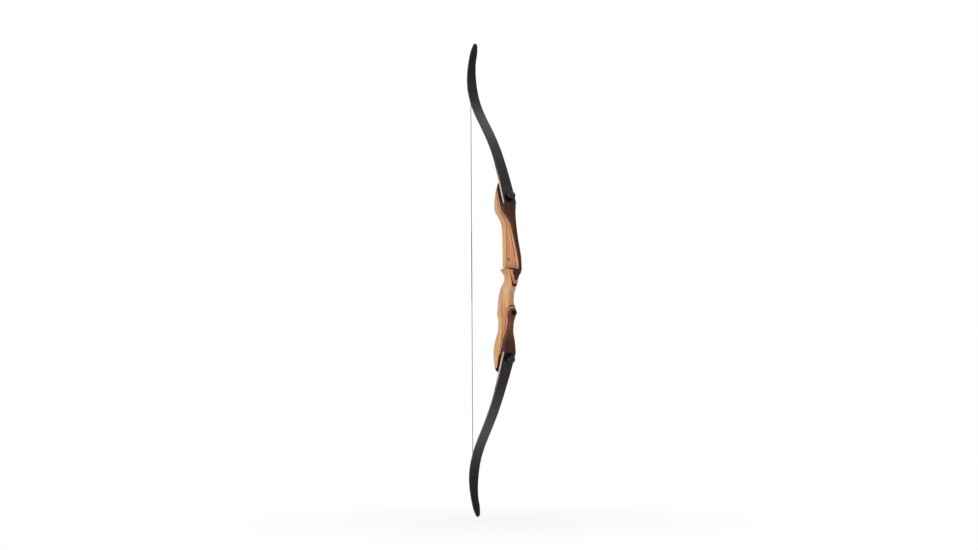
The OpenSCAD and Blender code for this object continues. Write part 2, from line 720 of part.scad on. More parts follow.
// A loop leaves the string, runs out over the belly to both nock grooves and crosses the front.
module string_loop(end) {
    r = loop_d / 2;
    s_nock = limb_length - nock_seat;
    side_y = limb_half_width(s_nock) - nock_depth + r + string_gap;
    back = -(belly_out(s_nock) - string_gap - r);
    front = overlay_out(s_nock) + string_gap + r;
    edge = side_y - r - string_gap;
    leg = [for (i = [0:7]) let(t = i / 7, s = mix(join_s + 0.3, s_nock - 5, t),
               p = belly_line(end, s, r)) world(end, p, mix(r + 0.1, edge - 0.3, ease(t)))];
    wrap = [for (c = [[-back, edge, -2], [-back + 0.45, edge + 1, -1], [-back + 1.45, side_y, 0],
                      [front - 1.45, side_y, 0], [front - 0.45, edge + 1, 0.6],
                      [front, edge, 1.2], [front, edge / 2, 2.4]])
        let(p = at_limb(end, s_nock + c[2], c[0])) world(end, p, c[1])];
    crown = world(end, at_limb(end, s_nock + 3, front), 0);
    half = concat(leg, wrap);
    n = len(half);
    path = concat(half, [crown], [for (i = [n - 1:-1:0]) [half[i][0], -half[i][1], half[i][2]]]);
    color("black") tube(path, [for (p = path) r], [1, 0, 0]);
}

riser_core_block();
riser_belly_block(UP);  // riser_upper_belly_block
riser_belly_block(DOWN);  // riser_lower_belly_block
riser_veneer(UP);  // riser_upper_veneer
riser_veneer(DOWN);  // riser_lower_veneer
riser_red_stripe(UP);  // riser_upper_red_stripe
riser_red_stripe(DOWN);  // riser_lower_red_stripe
riser_pale_stripe(UP);  // riser_upper_pale_stripe
riser_pale_stripe(DOWN);  // riser_lower_pale_stripe
riser_front_block(UP);  // riser_upper_front_block
riser_front_block(DOWN);  // riser_lower_front_block
pad_wedge(UP);  // upper_pad_wedge
pad_wedge(DOWN);  // lower_pad_wedge
color("wheat") limb_layer(UP, "core");  // upper_limb_core
color("black") limb_layer(UP, "front");  // upper_limb_front_glass
color("black") limb_layer(UP, "belly");  // upper_limb_belly_glass
limb_butt_wedge(UP);  // upper_limb_butt_wedge
tip_overlay(UP);  // upper_tip_overlay
color("wheat") limb_layer(DOWN, "core");  // lower_limb_core
color("black") limb_layer(DOWN, "front");  // lower_limb_front_glass
color("black") limb_layer(DOWN, "belly");  // lower_limb_belly_glass
limb_butt_wedge(DOWN);  // lower_limb_butt_wedge
tip_overlay(DOWN);  // lower_tip_overlay
limb_insert(UP);  // upper_limb_insert
alignment_pin(UP);  // upper_alignment_pin
limb_washer(UP);  // upper_limb_washer
limb_bolt(UP);  // upper_limb_bolt
limb_knob(UP);  // upper_limb_knob
limb_insert(DOWN);  // lower_limb_insert
alignment_pin(DOWN);  // lower_alignment_pin
limb_washer(DOWN);  // lower_limb_washer
limb_bolt(DOWN);  // lower_limb_bolt
limb_knob(DOWN);  // lower_limb_knob
plunger_bushing();
stabilizer_bushing();
bowstring();
center_serving();
string_loop(UP);  // upper_string_loop
string_loop(DOWN);  // lower_string_loop
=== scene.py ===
"""Takedown recurve bow, braced and at rest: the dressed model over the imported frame.

X points at the target, Y to the archer's left and Z up the bow. Sizes are in
millimetres in the classes below, and become metres where a mesh is made.
"""

import logging
import math
from dataclasses import dataclass, field
from enum import Enum
from functools import partial, reduce
from typing import Callable, Optional, Sequence, Union

import bmesh
import bpy
import numpy as np
from mathutils import Matrix, Vector

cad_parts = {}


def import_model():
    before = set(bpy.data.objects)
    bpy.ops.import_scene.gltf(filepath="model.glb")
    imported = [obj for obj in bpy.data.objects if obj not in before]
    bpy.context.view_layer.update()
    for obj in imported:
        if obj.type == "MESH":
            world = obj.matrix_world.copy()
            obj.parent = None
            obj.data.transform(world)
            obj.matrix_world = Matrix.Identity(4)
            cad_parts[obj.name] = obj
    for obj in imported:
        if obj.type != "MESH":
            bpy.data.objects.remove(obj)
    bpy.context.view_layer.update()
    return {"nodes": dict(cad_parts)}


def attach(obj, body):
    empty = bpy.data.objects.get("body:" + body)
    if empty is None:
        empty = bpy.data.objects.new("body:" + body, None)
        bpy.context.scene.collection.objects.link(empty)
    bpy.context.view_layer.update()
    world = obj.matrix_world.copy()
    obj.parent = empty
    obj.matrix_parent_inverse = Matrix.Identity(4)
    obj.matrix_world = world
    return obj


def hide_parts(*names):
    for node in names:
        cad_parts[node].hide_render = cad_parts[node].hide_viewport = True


Obj = bpy.types.Object
Socket = bpy.types.NodeSocket
Triple = tuple[float, float, float]
Value = Union[Socket, float, Triple]
Inputs = dict[Union[int, str], Value]
Profile = Sequence[Sequence[float]]
Face = Callable[[float], float]

MM = 0.001
BUTT_Z = 229.0
HALF_PAD = 22.2
PER_MM: Triple = (1000.0, 1000.0, 1000.0)
LOG = logging.getLogger("bow")


class End(Enum):
    """The two ends of the bow, by the sign of their Z."""

    UPPER = 1
    LOWER = -1

    @property
    def word(self) -> str:
        """The end's name as it stands in node names."""
        return self.name.lower()


class Layer(Enum):
    """The layers of a limb, from the target side to the archer's side."""

    FRONT_GLASS = "front_glass"
    CORE = "core"
    BELLY_GLASS = "belly_glass"


class Cut(Enum):
    """What a cut does with the space that a piece and its tool share."""

    AWAY = "DIFFERENCE"
    KEPT = "INTERSECT"


def ease(x: np.ndarray, first: float = 0.0, last: float = 1.0) -> np.ndarray:
    """Give the smooth step of x, 0 up to the first place and 1 from the last one on."""
    t = np.clip((x - first) / (last - first), 0.0, 1.0)
    return t * t * (3.0 - 2.0 * t)


def mix(a: float, b: float, t: np.ndarray) -> np.ndarray:
    """Blend from a to b as t goes from 0 to 1."""
    return a + (b - a) * t


def mixed(a: Triple, b: Triple, t: float) -> Triple:
    """Blend two plain colours."""
    return tuple(mix(x, y, t) for x, y in zip(a, b))


def arc(first: float, last: float, count: int) -> np.ndarray:
    """Give even angles in radians between two angles in degrees."""
    return np.radians(np.linspace(first, last, count))


def rounded(x: float, y: float, r: float, angles: np.ndarray) -> np.ndarray:
    """Give the points of a round corner from its centre, radius and angles."""
    return np.stack([x + r * np.cos(angles), y + r * np.sin(angles)], 1)


def looped(corners: Sequence[np.ndarray], between: Sequence[int]) -> np.ndarray:
    """Join round corners into a loop.

    Args:
        corners: Arrays of points by 2, in order round the loop.
        between: How many points go on the straight after each corner.

    Returns:
        The loop's points.
    """
    out = []
    for k, (corner, count) in enumerate(zip(corners, between)):
        t = np.linspace(0, 1, count + 2)[1:-1, None]
        out += [corner, mix(corner[-1], corners[(k + 1) % len(corners)][0], t)]
    return np.vstack(out)


def round_angles(sides: int) -> np.ndarray:
    """Give the angles of a ring's points, in radians."""
    return np.arange(sides) * 2 * math.pi / sides


def circle(r: Union[float, np.ndarray], h: float, sides: int) -> np.ndarray:
    """Give a ring round its own axis, with one radius or one for each point."""
    a = round_angles(sides)
    return np.stack([r * np.cos(a), r * np.sin(a), np.full(sides, h)], 1)


def tooth(turns: float, sides: int, crest: float, flank: float) -> np.ndarray:
    """Give how much of a thread's tooth, cut flat at 1, stands at each point of a ring."""
    phase = (turns - round_angles(sides) / (2 * math.pi)) % 1.0
    return np.clip(crest - np.abs(phase - 0.5) * flank, 0, 1)


def smooth_path(points: np.ndarray, parts: int) -> np.ndarray:
    """Round a path through its points.

    Args:
        points: The points.
        parts: Number of steps between two points.

    Returns:
        The rounded path.
    """
    p = np.vstack([2 * points[0] - points[1], points, 2 * points[-1] - points[-2]])
    out = []
    for a, b, c, d in zip(p, p[1:], p[2:], p[3:]):
        for t in np.linspace(0, 1, parts, endpoint=False):
            out.append(0.5 * (2*b + (c - a)*t + (2*a - 5*b + 4*c - d)*t*t
                              + (3*b - a - 3*c + d)*t**3))
    return np.array(out + [points[-1]])


class Rows:
    """A table of stations, read between its rows without overshoot."""

    def __init__(self, table: Profile) -> None:
        """Work out the slope of every column at every row.

        Args:
            table: Rows of station first and then the columns, in rising order.
        """
        data = np.array(table, float)
        self.x, self.v = data[:, 0], data[:, 1:]
        h = np.diff(self.x)[:, None]
        d = np.diff(self.v, axis=0) / h
        w1, w2 = 2 * h[1:] + h[:-1], h[1:] + 2 * h[:-1]
        same = d[:-1] * d[1:] > 0
        low, high = np.where(same, d[:-1], 1.0), np.where(same, d[1:], 1.0)
        inner = np.where(same, (w1 + w2) / (w1 / low + w2 / high), 0.0)
        self.m = np.vstack([d[:1], inner, d[-1:]])

    def at(self, x: float) -> np.ndarray:
        """Read all columns at one station.

        Args:
            x: The station, held inside the table.

        Returns:
            One value for each column.
        """
        x = min(max(x, self.x[0]), self.x[-1])
        i = min(max(int(np.searchsorted(self.x, x, side="right")) - 1, 0), len(self.x) - 2)
        h = self.x[i + 1] - self.x[i]
        t = (x - self.x[i]) / h
        a, b, c, e = 2*t**3 - 3*t**2 + 1, t**3 - 2*t**2 + t, -2*t**3 + 3*t**2, t**3 - t**2
        return a * self.v[i] + b * h * self.m[i] + c * self.v[i + 1] + e * h * self.m[i + 1]


@dataclass(frozen=True)
class Place:
    """A frame in the bow: an origin and an axis that lies across Y or along it."""

    origin: Triple
    axis: Triple

    def world(self, points: np.ndarray) -> np.ndarray:
        """Turn points of this frame into points of the bow.

        Args:
            points: Points of two values across the axis and one along it.

        Returns:
            The same points in the bow's frame.
        """
        w = np.array(self.axis, float)
        w /= np.linalg.norm(w)
        u = np.array([0.0, 1.0, 0.0] if abs(w[1]) < 0.9 else [1.0, 0.0, 0.0])
        u -= w * (u @ w)
        u /= np.linalg.norm(u)
        return np.array(self.origin) + points @ np.array([u, np.cross(w, u), w])


class Workshop:
    """Turns points and faces into Blender pieces, and cuts one piece with another."""

    HALF_SPAN = 60.0
    WELD = 1e-7
    NORMAL_WEIGHT = 60

    @staticmethod
    def placed(name: str, data: bpy.types.ID) -> Obj:
        """Put data into the scene under a name, at the origin.

        Args:
            name: Name of the object and its data.
            data: A mesh, a lamp or a camera.

        Returns:
            The new object.
        """
        data.name = name
        obj = bpy.data.objects.new(name, data)
        bpy.context.scene.collection.objects.link(obj)
        return obj

    @classmethod
    def piece(cls, name: str, points: np.ndarray, faces: Sequence[Sequence[int]],
              uv: Optional[np.ndarray] = None, edges: Sequence[Sequence[int]] = ()) -> Obj:
        """Make a mesh object from points in millimetres.

        Args:
            name: Name of the piece.
            points: Array of points.
            faces: Corner indices of each face.
            uv: One UV per point, in metres, or None.
            edges: End indices of each loose edge.

        Returns:
            The new object.
        """
        mesh = bpy.data.meshes.new(name)
        mesh.from_pydata((np.asarray(points) * MM).tolist(), edges, faces)
        if uv is not None:
            loops = np.zeros(len(mesh.loops), dtype=int)
            mesh.loops.foreach_get("vertex_index", loops)
            values = np.asarray(uv)[loops].astype(np.float32).ravel()
            mesh.uv_layers.new(name="along").data.foreach_set("uv", values)
        mesh.update()
        return cls.placed(name, mesh)

    @staticmethod
    def outwards(obj: Obj) -> Obj:
        """Turn all faces of a closed piece outwards.

        Args:
            obj: The piece.

        Returns:
            The same piece.
        """
        mesh = obj.data
        mesh.calc_loop_triangles()
        tri = np.zeros(len(mesh.loop_triangles) * 3, dtype=int)
        mesh.loop_triangles.foreach_get("vertices", tri)
        co = np.zeros(len(mesh.vertices) * 3)
        mesh.vertices.foreach_get("co", co)
        t = co.reshape(-1, 3)[tri.reshape(-1, 3)]
        if np.einsum("ij,ij->i", t[:, 0], np.cross(t[:, 1], t[:, 2])).sum() < 0:
            mesh.flip_normals()
        return obj

    @staticmethod
    def bands(count: int, sides: int, closed: bool = False) -> list[tuple[int, ...]]:
        """List the faces between rings.

        Args:
            count: Number of rings.
            sides: Number of points in a ring.
            closed: Whether the last ring is joined to the first.

        Returns:
            The faces' corner indices.
        """
        faces = []
        for j in range(count if closed else count - 1):
            low, up = j * sides, (j + 1) % count * sides
            faces += [(low + i, low + (i + 1) % sides, up + (i + 1) % sides, up + i)
                      for i in range(sides)]
        return faces

    @classmethod
    def lofted(cls, name: str, rings: np.ndarray, uv: Optional[np.ndarray] = None) -> Obj:
        """Make a piece with flat ends from rings.

        Args:
            name: Name of the piece.
            rings: Array of rings by points by 3.
            uv: One UV per point, or None.

        Returns:
            The piece.
        """
        count, n = rings.shape[:2]
        ends = [tuple(range(n - 1, -1, -1)), tuple(range((count - 1) * n, count * n))]
        return cls.outwards(cls.piece(name, rings.reshape(-1, 3), cls.bands(count, n) + ends, uv))

    @classmethod
    def prism(cls, name: str, outline: Profile) -> Obj:
        """Make a prism across the bow from its side's outline of x and z."""
        ends = (-cls.HALF_SPAN, cls.HALF_SPAN)
        return cls.lofted(name, np.array([[[p[0], y, p[1]] for p in outline] for y in ends]))

    @classmethod
    def wrapped(cls, name: str, rings: Sequence[np.ndarray], place: Place,
                closed: bool = False) -> Obj:
        """Make a round piece from rings in the frame of its own axis.

        Args:
            name: Name of the piece.
            rings: The rings, each with the axis along the third value.
            place: Where the axis is.
            closed: Whether the last ring is joined to the first.

        Returns:
            The piece, with its poles and seams closed.
        """
        data = np.array(rings)
        faces = cls.bands(*data.shape[:2], closed)
        obj = cls.piece(name, place.world(data.reshape(-1, 3)), faces)
        bm = bmesh.new()
        bm.from_mesh(obj.data)
        bmesh.ops.remove_doubles(bm, verts=bm.verts, dist=cls.WELD)
        bmesh.ops.dissolve_degenerate(bm, dist=cls.WELD, edges=bm.edges)
        bm.to_mesh(obj.data)
        bm.free()
        return cls.outwards(obj)

    @classmethod
    def revolved(cls, name: str, profile: Profile, place: Place, sides: int = 64,
                 closed: bool = False) -> Obj:
        """Turn a profile of radii and heights round an axis, where an open one begins and ends."""
        return cls.wrapped(name, [circle(r, h, sides) for r, h in profile], place, closed)

    @classmethod
    def rod(cls, place: Place, r: float, low: float, high: float) -> Obj:
        """Make a plain rod on an axis, as the tool for a hole."""
        return cls.revolved("hole", [(0, low), (r, low), (r, high), (0, high)], place)

    @classmethod
    def copied(cls, obj: Obj, name: str) -> Obj:
        """Make a copy of a piece with its own mesh."""
        return cls.placed(name, obj.data.copy())

    @classmethod
    def cut(cls, obj: Obj, tool: Obj, how: Cut = Cut.AWAY, keep_tool: bool = False) -> None:
        """Cut a piece with a tool.

        Args:
            obj: The piece that changes.
            tool: The piece that cuts.
            how: Whether what both share goes or is all that stays.
            keep_tool: Whether the tool stays for another cut.
        """
        mod = obj.modifiers.new("cut", "BOOLEAN")
        mod.operation, mod.object, mod.solver = how.value, tool, "MANIFOLD"
        cls.applied(obj)
        if not keep_tool:
            cls.dropped(tool)

    @staticmethod
    def applied(obj: Obj) -> None:
        """Turn a piece's modifiers into plain mesh.

        Args:
            obj: The piece.
        """
        deps = bpy.context.evaluated_depsgraph_get()
        deps.update()
        new = bpy.data.meshes.new_from_object(obj.evaluated_get(deps), depsgraph=deps,
                                              preserve_all_data_layers=True)
        obj.modifiers.clear()
        old, obj.data = obj.data, new
        new.name = obj.name
        if old.users == 0:
            bpy.data.meshes.remove(old)

    @staticmethod
    def dropped(obj: Obj) -> None:
        """Remove a helper piece and its mesh.

        Args:
            obj: The piece.
        """
        mesh = obj.data
        bpy.data.objects.remove(obj)
        if mesh.users == 0:
            bpy.data.meshes.remove(mesh)

    @classmethod
    def dressed(cls, obj: Obj, finish: "Finish", sharp: float = 0.0, body: str = "riser") -> None:
        """Shade a piece, give it its finish, hang it on its body and hide the node that it stands
        for.

        Args:
            obj: The piece. Its name is its node's name and one more word.
            finish: Its finish.
            sharp: Edges that turn more than this, in degrees, stay sharp. At nought the
                shading stays as it is.
            body: The body that it rides on.
        """
        if sharp:
            obj.data.shade_smooth()
            obj.data.set_sharp_from_angle(angle=math.radians(sharp))
            mod = obj.modifiers.new("fair", "WEIGHTED_NORMAL")
            mod.keep_sharp, mod.weight = True, cls.NORMAL_WEIGHT
            cls.applied(obj)
        obj.data.materials.clear()
        obj.data.materials.append(finish.material())
        for poly in obj.data.polygons:
            poly.material_index = 0
        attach(obj, body)
        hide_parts(obj.name.rsplit("_", 1)[0])
        LOG.info("%s: %d faces on %s", obj.name, len(obj.data.polygons), body)


class Nodes:
    """Short hand for filling a node tree."""

    def __init__(self, graph: bpy.types.NodeTree) -> None:
        """Take the tree that the nodes go into."""
        self.graph = graph

    def fill(self, socket: Socket, value: Value) -> None:
        """Wire an output to an input, or set the input.

        Args:
            socket: The input.
            value: The output, or the number, triple or colour.
        """
        if isinstance(value, Socket):
            self.graph.links.new(value, socket)
        elif socket.type == "RGBA":
            socket.default_value = (*value, 1.0)
        else:
            socket.default_value = value

    def node(self, kind: str, into: Optional[Inputs] = None, **props: object) -> bpy.types.Node:
        """Add a node.

        Args:
            kind: The node's type.
            into: Outputs or values for its inputs, by number or name.
            props: Its properties.

        Returns:
            The node.
        """
        made = self.graph.nodes.new(kind)
        for key, value in props.items():
            setattr(made, key, value)
        for key, value in (into or {}).items():
            self.fill(made.inputs[key], value)
        return made

    def calc(self, kind: str, *values: Value) -> Socket:
        """Add a math node and give its result."""
        return self.node("ShaderNodeMath", dict(enumerate(values)), operation=kind).outputs[0]

    def vector(self, kind: str, *values: Value) -> Socket:
        """Add a vector math node and give its result."""
        made = self.node("ShaderNodeVectorMath", dict(enumerate(values)), operation=kind)
        return made.outputs["Value" if kind == "DISTANCE" else "Vector"]

    def product(self, *values: Value) -> Socket:
        """Multiply two or more values."""
        return reduce(partial(self.calc, "MULTIPLY"), values)

    def spanned(self, value: Socket, lo: float, hi: float, a: float, b: float) -> Socket:
        """Carry a value from the span lo to hi to the span a to b, held inside it."""
        into = {"Value": value, "From Min": lo, "From Max": hi, "To Min": a, "To Max": b}
        return self.node("ShaderNodeMapRange", into).outputs["Result"]

    def shared(self, share: Socket, first: Socket, second: Socket, out: str) -> None:
        """Blend two shaders, with a share of the second one, on the surface of node out."""
        blend = self.node("ShaderNodeMixShader", {0: share, 1: first, 2: second})
        self.fill(self.graph.nodes[out].inputs["Surface"], blend.outputs[0])


class Tree(Nodes):
    """A new material's nodes."""

    def __init__(self, name: str) -> None:
        """Start a material of this name with its plain shader.

        Args:
            name: Name of the material.
        """
        self.mat = bpy.data.materials.new(name)
        self.mat.use_nodes = True
        super().__init__(self.mat.node_tree)
        self.bsdf = self.graph.nodes["Principled BSDF"]

    def spread(self, scale: Triple, uv: bool = False) -> Socket:
        """Give the object's coordinates or those of its own map, stretched along each axis."""
        at = self.node("ShaderNodeTexCoord").outputs["UV" if uv else "Object"]
        return self.node("ShaderNodeMapping", {"Vector": at, "Scale": scale}).outputs["Vector"]

    def noise(self, at: Value, scale: float, detail: float, rough: float,
              bend: float = 0.0) -> Socket:
        """Add a noise pattern.

        Args:
            at: Coordinates, or how often the object's own ones repeat in a metre.
            scale: Its scale.
            detail: Its detail.
            rough: Its roughness.
            bend: Its distortion.

        Returns:
            The socket of its value.
        """
        into = {"Vector": at if isinstance(at, Socket) else self.spread(at), "Scale": scale,
                "Detail": detail, "Roughness": rough, "Distortion": bend}
        return self.node("ShaderNodeTexNoise", into).outputs["Fac"]

    def ramp(self, value: Socket, *stops: tuple[float, Triple]) -> Socket:
        """Turn a value into a colour.

        Args:
            value: The value.
            stops: Places and colours, in rising order.

        Returns:
            The socket of the colour.
        """
        made = self.node("ShaderNodeValToRGB", {"Fac": value})
        elements = made.color_ramp.elements
        while len(elements) < len(stops):
            elements.new(0.5)
        for element, (position, colour) in zip(elements, stops):
            element.position = position
            element.color = (*colour, 1.0)
        return made.outputs["Color"]

    def blended(self, share: Socket, a: Value, b: Value) -> Socket:
        """Blend two colours, with a share of the second one."""
        return self.node("ShaderNodeMix", {0: share, 6: a, 7: b}, data_type="RGBA").outputs[2]

    def bumped(self, height: Socket, strength: float, distance: float,
               under: Optional[Socket] = None) -> Socket:
        """Turn a height into a normal.

        Args:
            height: The height.
            strength: Share of it that shows.
            distance: Real height of one, in metres.
            under: A normal below it, or None.

        Returns:
            The socket of the normal.
        """
        into = {"Height": height, "Strength": strength, "Distance": distance}
        if under is not None:
            into["Normal"] = under
        return self.node("ShaderNodeBump", into).outputs["Normal"]

    def place(self) -> bpy.types.bpy_prop_collection:
        """Give the sockets of x, y and z on the bow, in millimetres."""
        return self.node("ShaderNodeSeparateXYZ", {0: self.spread(PER_MM)}).outputs

    def height(self, level: float = 0.0) -> Socket:
        """Give the distance in height from a level, in millimetres and never negative."""
        return self.calc("ABSOLUTE", self.calc("SUBTRACT", self.place()[2], level))

    def band(self, level: float, reach: float, share: float) -> Socket:
        """Give a share that is greatest at one level and gone at its reach up and down."""
        return self.spanned(self.height(level), 0.0, reach, share, 0.0)

    def surface(self, **values: Value) -> None:
        """Fill the shader's own sockets, with spaces in their names as underscores."""
        for key, value in values.items():
            self.fill(self.bsdf.inputs[key.replace("_", " ")], value)


@dataclass(frozen=True)
class Finish:
    """A finish that is made once and then shared by its pieces, and its slot."""

    name: str
    slot: str

    def material(self) -> bpy.types.Material:
        """Give the finish's material, and build it the first time.

        Returns:
            The material.
        """
        found = bpy.data.materials.get(self.name)
        if found is None:
            tree = Tree(self.name)
            self.paint(tree)
            found = tree.mat
        return found

    def paint(self, tree: Tree) -> None:
        """Wire the material."""
        raise NotImplementedError


@dataclass(frozen=True)
class Wood(Finish):
    """Straight-grained wood under lacquer."""

    light: Triple
    dark: Triple
    seed: float
    streak: float = 0.35
    pores: float = 0.5
    gloss: float = 0.2
    shine: float = 0.35
    # Painted shade in the corner of arrow shelf and window, when set.
    grime: bool = False
    black_from: float = 0.0
    black_at: float = 0.0
    # A pale band at one height is a painted sheen that stands in for a soft reflection; a height of
    # nought leaves it out.
    pale_at: float = 0.0
    pale: Triple = (0.245, 0.102, 0.048)
    pale_share: float = 0.68
    pale_reach: float = 62.0

    def soiled(self, tree: Tree, colour: Socket) -> Socket:
        """Paint shade into the corner between arrow shelf and window, darker and duller there, and
        a fainter painted shade up the window's foot.

        Args:
            tree: The material's nodes.
            colour: The wood's colour without the painted shade.

        Returns:
            The colour with the painted shade on it.
        """
        x, y, z = tree.place()
        spots = tree.noise((240.0, 240.0, 240.0), 1.0, 3.0, 0.6)
        off = tree.calc("ADD", x, -Riser.shelf_crest_x)
        high = tree.calc("ADD", z, tree.product(off, off, Riser.shelf_crown))
        # Painted shade: a dark, dull line where shelf meets window, standing in for the corner's
        # shadow.
        corner_shade = tree.product(tree.spanned(high, 26.2, 26.9, 0.0, 1.0),
                            tree.spanned(high, 28.4, 31.5, 1.0, 0.0),
                            tree.spanned(y, -17.0, -9.0, 0.0, 1.0),
                            tree.spanned(spots, 0.2, 0.6, 0.8, 1.0))
        # Painted shade: the window's foot darkens towards the shelf.
        haze = tree.product(tree.spanned(high, 26.2, 26.9, 0.0, 0.35),
                            tree.spanned(high, 29.0, 50.0, 1.0, 0.0))
        tree.surface(Coat_Weight=tree.spanned(corner_shade, 0.0, 1.0, self.gloss, 0.0),
                     Specular_IOR_Level=tree.spanned(corner_shade, 0.0, 1.0, self.shine, 0.0))
        shaded = tree.blended(haze, colour, mixed(self.dark, (0.05, 0.02, 0.01), 0.4))
        return tree.blended(corner_shade, shaded, (0.040, 0.010, 0.003))

    def blackened(self, tree: Tree, colour: Socket) -> Socket:
        """Blacken the wood's edge from some way up the bow to the tip.

        Args:
            tree: The material's nodes.
            colour: The bare wood's colour.

        Returns:
            The colour, black beyond black_at.
        """
        uneven = tree.product(tree.noise((90.0, 90.0, 30.0), 1.0, 3.0, 0.6), 24.0)
        high = tree.calc("ADD", tree.height(), uneven)
        share = tree.spanned(high, self.black_from, self.black_at, 0.0, 1.0)
        return tree.blended(share, colour, (0.022, 0.014, 0.012))

    def paint(self, tree: Tree) -> None:
        """Wire growth rings cut along the grain, fibres, pores and a worn coat.

        Args:
            tree: The new material's nodes.
        """
        tree.surface(Coat_Weight=self.gloss, Specular_IOR_Level=self.shine)
        offset = (self.seed, self.seed * 0.7, self.seed * 0.3)
        at = tree.vector("ADD", tree.spread((26.0, 17.0, 1.9)), offset)
        rings = tree.product(tree.noise(at, 2.2, 3.0, 0.55, 0.8), 7.0)
        base = tree.ramp(tree.calc("PINGPONG", rings, 1.0), (0.0, self.light),
                         (0.55, mixed(self.light, self.dark, 0.35)),
                         (1.0, mixed(self.light, self.dark, 0.35 + self.streak)))
        fibre = tree.noise((520.0, 520.0, 14.0), 1.0, 5.0, 0.65)
        tinted = tree.blended(tree.spanned(fibre, 0.42, 0.72, 0.0, self.streak), base, self.dark)
        pore = tree.noise((900.0, 900.0, 55.0), 1.0, 2.0, 0.4)
        dots = tree.spanned(pore, 0.66, 0.74, 0.0, self.pores)
        colour = tree.blended(dots, tinted, mixed(self.dark, (0.02, 0.01, 0.005), 0.6))
        # Painted shade in the corner of shelf and window.
        if self.grime:
            colour = self.soiled(tree, colour)
        if self.black_at:
            colour = self.blackened(tree, colour)
        # Painted sheen: a lighter band at one height, for a soft reflection.
        if self.pale_at:
            band = tree.band(self.pale_at, self.pale_reach, self.pale_share)
            colour = tree.blended(band, colour, self.pale)
        hands = tree.noise((30.0, 30.0, 30.0), 1.3, 4.0, 0.6)
        skin = tree.noise((160.0, 160.0, 90.0), 1.0, 2.0, 0.4)
        tree.surface(Base_Color=colour, Roughness=tree.spanned(hands, 0.3, 0.75, 0.30, 0.46),
                     Normal=tree.bumped(pore, 0.2, 0.00010, tree.bumped(fibre, 0.25, 0.00008)),
                     Coat_Normal=tree.bumped(skin, 0.12, 0.00012), Coat_Roughness=0.16,
                     Coat_IOR=1.48)


@dataclass(frozen=True)
class GlassLaminate(Finish):
    """Black glass-fibre laminate: fine fibres along the limb under lacquer."""

    tone: Triple = (0.016, 0.0145, 0.016)
    lift: Triple = (0.034, 0.031, 0.034)
    # haze is the colour of a painted reflection, a lighter band low on the lower limb.
    haze: Triple = (0.105, 0.099, 0.104)
    # Colour of the painted shade towards the tips.
    deep: Triple = (0.003, 0.0025, 0.003)

    def paint(self, tree: Tree) -> None:
        """Wire fibres along the piece's own map, scuffs, a painted reflection low on the
        lower limb, painted shade towards the tips and a smooth coat.

        Args:
            tree: The new material's nodes.
        """
        fibre = tree.noise(tree.spread((1900.0, 30.0, 1.0), True), 1.0, 4.0, 0.6)
        cloud = tree.noise(tree.spread((22.0, 6.0, 1.0), True), 2.0, 3.0, 0.5)
        scuff = tree.noise(tree.spread((400.0, 90.0, 1.0), True), 1.0, 6.0, 0.7)
        shade = tree.ramp(fibre, (0.35, self.tone), (0.7, self.lift))
        clouded = tree.blended(tree.spanned(cloud, 0.35, 0.7, 0.0, 0.35), shade, self.tone)
        # Painted reflection: a lighter band around the lower limb's middle.
        with_painted_reflection = tree.blended(tree.band(-478.0, 150.0, 0.8), clouded, self.haze)
        # Painted shade: the glass darkens towards the tips.
        tip_shade_share = tree.spanned(tree.height(), 500.0, 690.0, 0.0, 0.8)
        tree.surface(Base_Color=tree.blended(tip_shade_share, with_painted_reflection, self.deep),
                     Roughness=tree.spanned(scuff, 0.3, 0.75, 0.30, 0.44),
                     Normal=tree.bumped(fibre, 0.25, 0.00005), Coat_Weight=0.06,
                     Coat_Roughness=0.22, Specular_IOR_Level=0.14)


@dataclass(frozen=True)
class Laminate(Finish):
    """Black phenolic laminate with its thin sheets showing on edge."""

    tone: Triple = (0.006, 0.003, 0.002)

    def paint(self, tree: Tree) -> None:
        """Wire faint sheets, sanding marks and a satin coat.

        Args:
            tree: The new material's nodes.
        """
        sheets = tree.noise((2600.0, 90.0, 900.0), 1.0, 2.0, 0.5)
        sanding = tree.noise((60.0, 60.0, 900.0), 1.0, 5.0, 0.6)
        lift = mixed(self.tone, (0.05, 0.03, 0.02), 0.25)
        tree.surface(Base_Color=tree.ramp(sheets, (0.35, self.tone), (0.7, lift)),
                     Roughness=tree.spanned(sanding, 0.3, 0.75, 0.3, 0.46),
                     Normal=tree.bumped(sanding, 0.2, 0.00005), Coat_Weight=0.0,
                     Specular_IOR_Level=0.04)


@dataclass(frozen=True)
class Moulded(Finish):
    """Black moulded plastic, polished by fingers on its high places."""

    tone: Triple = (0.005, 0.005, 0.0055)

    def paint(self, tree: Tree) -> None:
        """Wire a fine leather-like grain, hand polish and moulding haze.

        Args:
            tree: The new material's nodes.
        """
        grain = tree.noise(PER_MM, 1.6, 3.0, 0.5)
        haze = tree.noise(PER_MM, 0.12, 4.0, 0.55)
        lift = mixed(self.tone, (0.1, 0.1, 0.1), 0.08)
        tree.surface(Base_Color=tree.ramp(haze, (0.3, self.tone), (0.75, lift)),
                     Roughness=tree.spanned(haze, 0.3, 0.7, 0.12, 0.18),
                     Normal=tree.bumped(grain, 0.25, 0.00004), Specular_IOR_Level=0.3)


@dataclass(frozen=True)
class Metal(Finish):
    """Turned metal with tool marks, handling and tarnish."""

    tone: Triple
    tarnish: Triple
    smooth: float = 0.25

    def paint(self, tree: Tree) -> None:
        """Wire brushed marks, spots and roughness.

        Args:
            tree: The new material's nodes.
        """
        marks = tree.noise(PER_MM, 2.4, 5.0, 0.7)
        spots = tree.spanned(tree.noise(PER_MM, 0.25, 4.0, 0.6), 0.48, 0.72, 0.0, 0.7)
        rough = tree.spanned(marks, 0.3, 0.75, self.smooth, self.smooth + 0.18)
        tree.surface(Base_Color=tree.blended(spots, self.tone, self.tarnish), Roughness=rough,
                     Normal=tree.bumped(marks, 0.2, 0.00003), Metallic=1.0)


